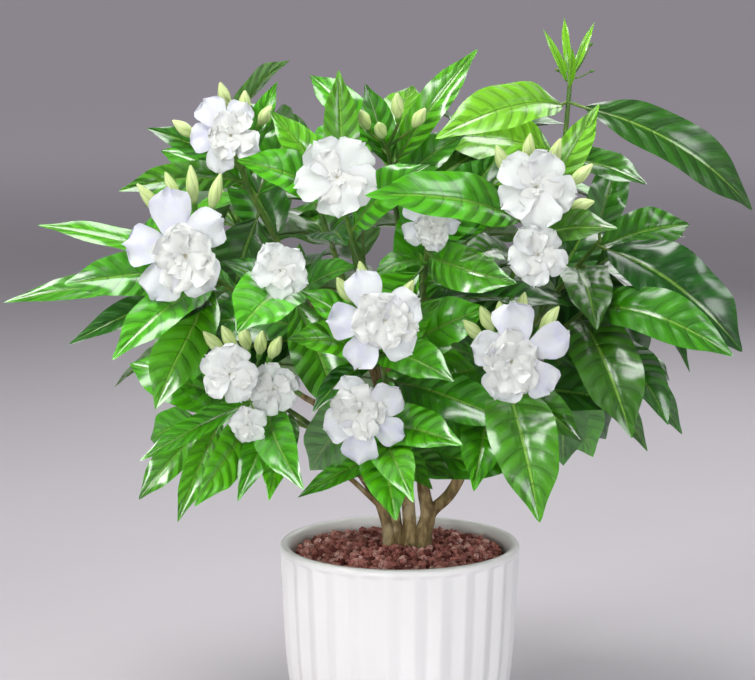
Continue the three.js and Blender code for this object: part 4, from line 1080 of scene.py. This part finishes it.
def build_bloom(node, centre, axis, kind):
    """Outer petals on the solid's own petal tips, then ruffled inner rounds and the tube."""
    tips, base_way, other = petal_tips(node, centre, axis)
    radius = sum(t[0].length for t in tips) / OUTER_PETALS
    bm = fresh()
    seed = noise.noise(centre * 90) * 5
    rng = random.Random(int(abs(seed) * 1000) + 5)
    lean = math.radians(LEANS.get(node, OTHER_LEAN))
    low = square_to(Vector((math.cos(lean), 0, math.sin(lean))), axis)
    build_outer_petals(bm, centre, axis, tips, radius, low, kind, rng, seed)
    heart = centre + axis * 0.05 * radius + low * kind["heart"] * radius
    build_inner_petals(bm, heart, axis, base_way, other, radius, kind, rng, seed)
    thicken(bm, PETAL_DEPTH)
    foot = centre - axis * (TUBE_LENGTH - 0.3 * MM)
    throat = centre - axis * 0.2 * MM
    neck = [foot] + [foot.lerp(centre, share) for share in NECK_SHARES] + [throat]
    tube(bm, neck, [r * MM for r in NECK_RADII], 10, (0.9, 0, 0, 1))
    finish_piece(bm, "flower_" + node.removeprefix("bloom_"), PETAL, "petal", node)


def find_buds(node, hub):
    """Tip, belly and foot of each bud of a cluster."""
    bm = merged_copy(node)
    buds = []
    for tip in bm.verts:
        ring = [e.other_vert(tip) for e in tip.link_edges]
        if len(ring) != 4 or (tip.co - hub).length < 12 * MM:
            continue
        belly = sum((v.co for v in ring), Vector()) / 4
        size = max((v.co - belly).length for v in ring)
        if size < 2.2 * MM or (tip.co - belly).length < 5 * MM:
            continue
        rest = {e.other_vert(v) for v in ring for e in v.link_edges} - set(ring) - {tip}
        foot = hub.lerp(belly, 0.4)
        if len(rest) == 4:
            foot = sum((v.co for v in rest), Vector()) / 4
        if (tip.co - hub).length > (belly - hub).length:
            buds.append((tip.co.copy(), belly, foot))
    bm.free()
    return buds


def bud_ridges(turn, share):
    """Five low ridges that wind round a bud."""
    return 1 + 0.07 * smooth(0.2, 0.5, share) * math.cos(5 * turn + share * 5)


def build_buds(name, plan):
    """The buds of a cluster on their stalks, with the stalks of its blooms."""
    shoot, blooms, _, *given = plan
    hub, fork, end = fork_of(shoot)
    bm = fresh()
    stalks = fresh()
    tube(stalks, [hub, hub.lerp(fork, 0.5), fork + end * MM], [1.4 * MM, 1.5 * MM, 1.5 * MM], 8)
    for stalk in bloom_stalks(shoot, blooms, given):
        tube(stalks, stalk, [1.2 * MM] * len(stalk), 8)
    for tip, belly, foot in find_buds("buds_" + name, hub):
        tube(stalks, flowing([fork, foot, foot.lerp(belly, 0.4)], 8), [0.95 * MM] * 9, 7)
        axis = [foot.lerp(tip, k / (len(BUD_GIRTH) - 1)) for k in range(len(BUD_GIRTH))]
        tube(bm, axis, [r * MM for r in BUD_GIRTH], 15, relief=bud_ridges)
    finish_piece(stalks, "stalks_" + name, STEM, "bud", "buds_" + name)
    finish_piece(bm, "buds_of_" + name, BUD, "bud", "buds_" + name)


def build_cluster(name, plan):
    """The blooms and buds at the end of a shoot."""
    _, blooms, has_buds, *given = plan
    letters = ["_a", "_b", "_c"] if len(blooms) > 1 else [""]
    for (x, y, z, kind), letter in zip(blooms, letters):
        centre = mm(x, y, z)
        build_bloom(f"bloom_{name}{letter}", centre, bloom_axis(centre, given), KINDS[kind])
    if has_buds:
        build_buds(name, plan)


# ---- the whole plant ----

build_pot()
build_grit()
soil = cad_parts["potting_soil"]
soil.data.materials.clear()
soil.data.materials.append(SOIL)
build_wood()
for name, path in shoots.items():
    build_shoot(name, path)
for name, plan in clusters.items():
    build_cluster(name, plan)

# ---- floor, light and camera, in metres ----

# lamp: place, size, power, colour, and how wide it shines in degrees
LAMPS = {
    "key": ((-1.7, -1.2, 1.5), 0.6, 22.5, (1.0, 0.99, 0.97), 180),
    "low_front": ((-0.9, -2.5, 0.42), 0.7, 4.3, (0.99, 0.99, 1.0), 80),
    "low_right": ((1.3, -2.1, 0.3), 0.9, 2.2, (0.98, 0.99, 1.0), 80),
    "fill": ((1.7, -1.0, 1.2), 0.8, 10.5, (0.96, 0.97, 1.0), 180),
    "rim": ((0.5, 1.3, 1.4), 1.3, 13, (1.0, 1.0, 1.0), 180),
    "top": ((-0.3, -0.4, 1.7), 0.8, 19, (1.0, 1.0, 1.0), 180),
}
LAMP_AIM = Vector((0, 0, 0.28))
ROOM_COLOUR = (0.80, 0.78, 0.84, 1)
ROOM_HEIGHTS = (0.03, 0.22)  # the upward part of a direction, between which the room gets darker
ROOM_STRENGTHS = (0.31, 0.17)  # below and above that
FLOOR_HALF = 400
CAMERA_PLACE = (-0.0147, -1.5, 0.495)
CAMERA_DIP = 8.5  # degrees below level
LENS_MM = 109.9
SENSOR_MM = 36


def build_floor():
    """A plain pale floor with painted light far away: its colour gets lighter and it glows more
    with distance.
    """
    bm = bmesh.new()
    bmesh.ops.create_grid(bm, x_segments=1, y_segments=1, size=FLOOR_HALF)
    mesh = bpy.data.meshes.new("studio_floor")
    bm.to_mesh(mesh)
    bm.free()
    floor = bpy.data.objects.new("studio_floor", mesh)
    g = Graph("pale_floor")
    away = g.node("VectorMath", {0: g.place()}, operation="LENGTH").outputs["Value"]
    near = g.blend(g.noise(3.0), rgb(0.76, 0.745, 0.765), rgb(0.79, 0.775, 0.79))
    # painted light: the far floor gets a lighter colour
    far = rgb(0.96, 0.93, 0.97)
    g.wire(colour=g.blend(g.ease(away, 1.2, 7.0), near, far), rough=0.7)
    # painted light: a glow that grows with distance, though the floor is no lamp
    g.wire(glow=rgb(1.0, 0.95, 1.0), glow_strength=g.ease(away, 1.0, 6.0, 0.0, 0.13))
    mesh.materials.append(g.material)
    bpy.context.scene.collection.objects.link(floor)


def light_room():
    """Soft light from all round, a little stronger low down, and the lamps."""
    world = bpy.data.worlds.new("soft_room")
    world.use_nodes = True
    air = world.node_tree
    sky = air.nodes["Background"]
    sky.inputs["Color"].default_value = ROOM_COLOUR
    way = air.nodes.new("ShaderNodeTexCoord")
    parts = air.nodes.new("ShaderNodeSeparateXYZ")
    fade = air.nodes.new("ShaderNodeMapRange")
    air.links.new(way.outputs["Generated"], parts.inputs[0])
    air.links.new(parts.outputs[2], fade.inputs[0])
    air.links.new(fade.outputs[0], sky.inputs["Strength"])
    for socket, value in enumerate(ROOM_HEIGHTS + ROOM_STRENGTHS, 1):
        fade.inputs[socket].default_value = value
    bpy.context.scene.world = world

    for name, (spot, size, power, colour, spread) in LAMPS.items():
        lamp = bpy.data.lights.new(name, "AREA")
        lamp.size = size
        lamp.energy = power
        lamp.color = colour
        lamp.spread = math.radians(spread)
        holder = bpy.data.objects.new(name, lamp)
        holder.location = spot
        aim = LAMP_AIM - Vector(spot)
        holder.rotation_euler = aim.to_track_quat("-Z", "Y").to_euler()
        bpy.context.scene.collection.objects.link(holder)


def set_camera():
    """The camera at the photo's angle."""
    lens = bpy.data.cameras.new("photo_camera")
    lens.lens = LENS_MM
    lens.sensor_width = SENSOR_MM
    lens.sensor_fit = "HORIZONTAL"
    lens.clip_end = 1000
    camera = bpy.data.objects.new("photo_camera", lens)
    camera.location = CAMERA_PLACE
    camera.rotation_euler = (math.radians(90 - CAMERA_DIP), 0, 0)
    bpy.context.scene.collection.objects.link(camera)
    bpy.context.scene.camera = camera
    bpy.context.scene.view_settings.view_transform = "Standard"


build_floor()
light_room()
set_camera()
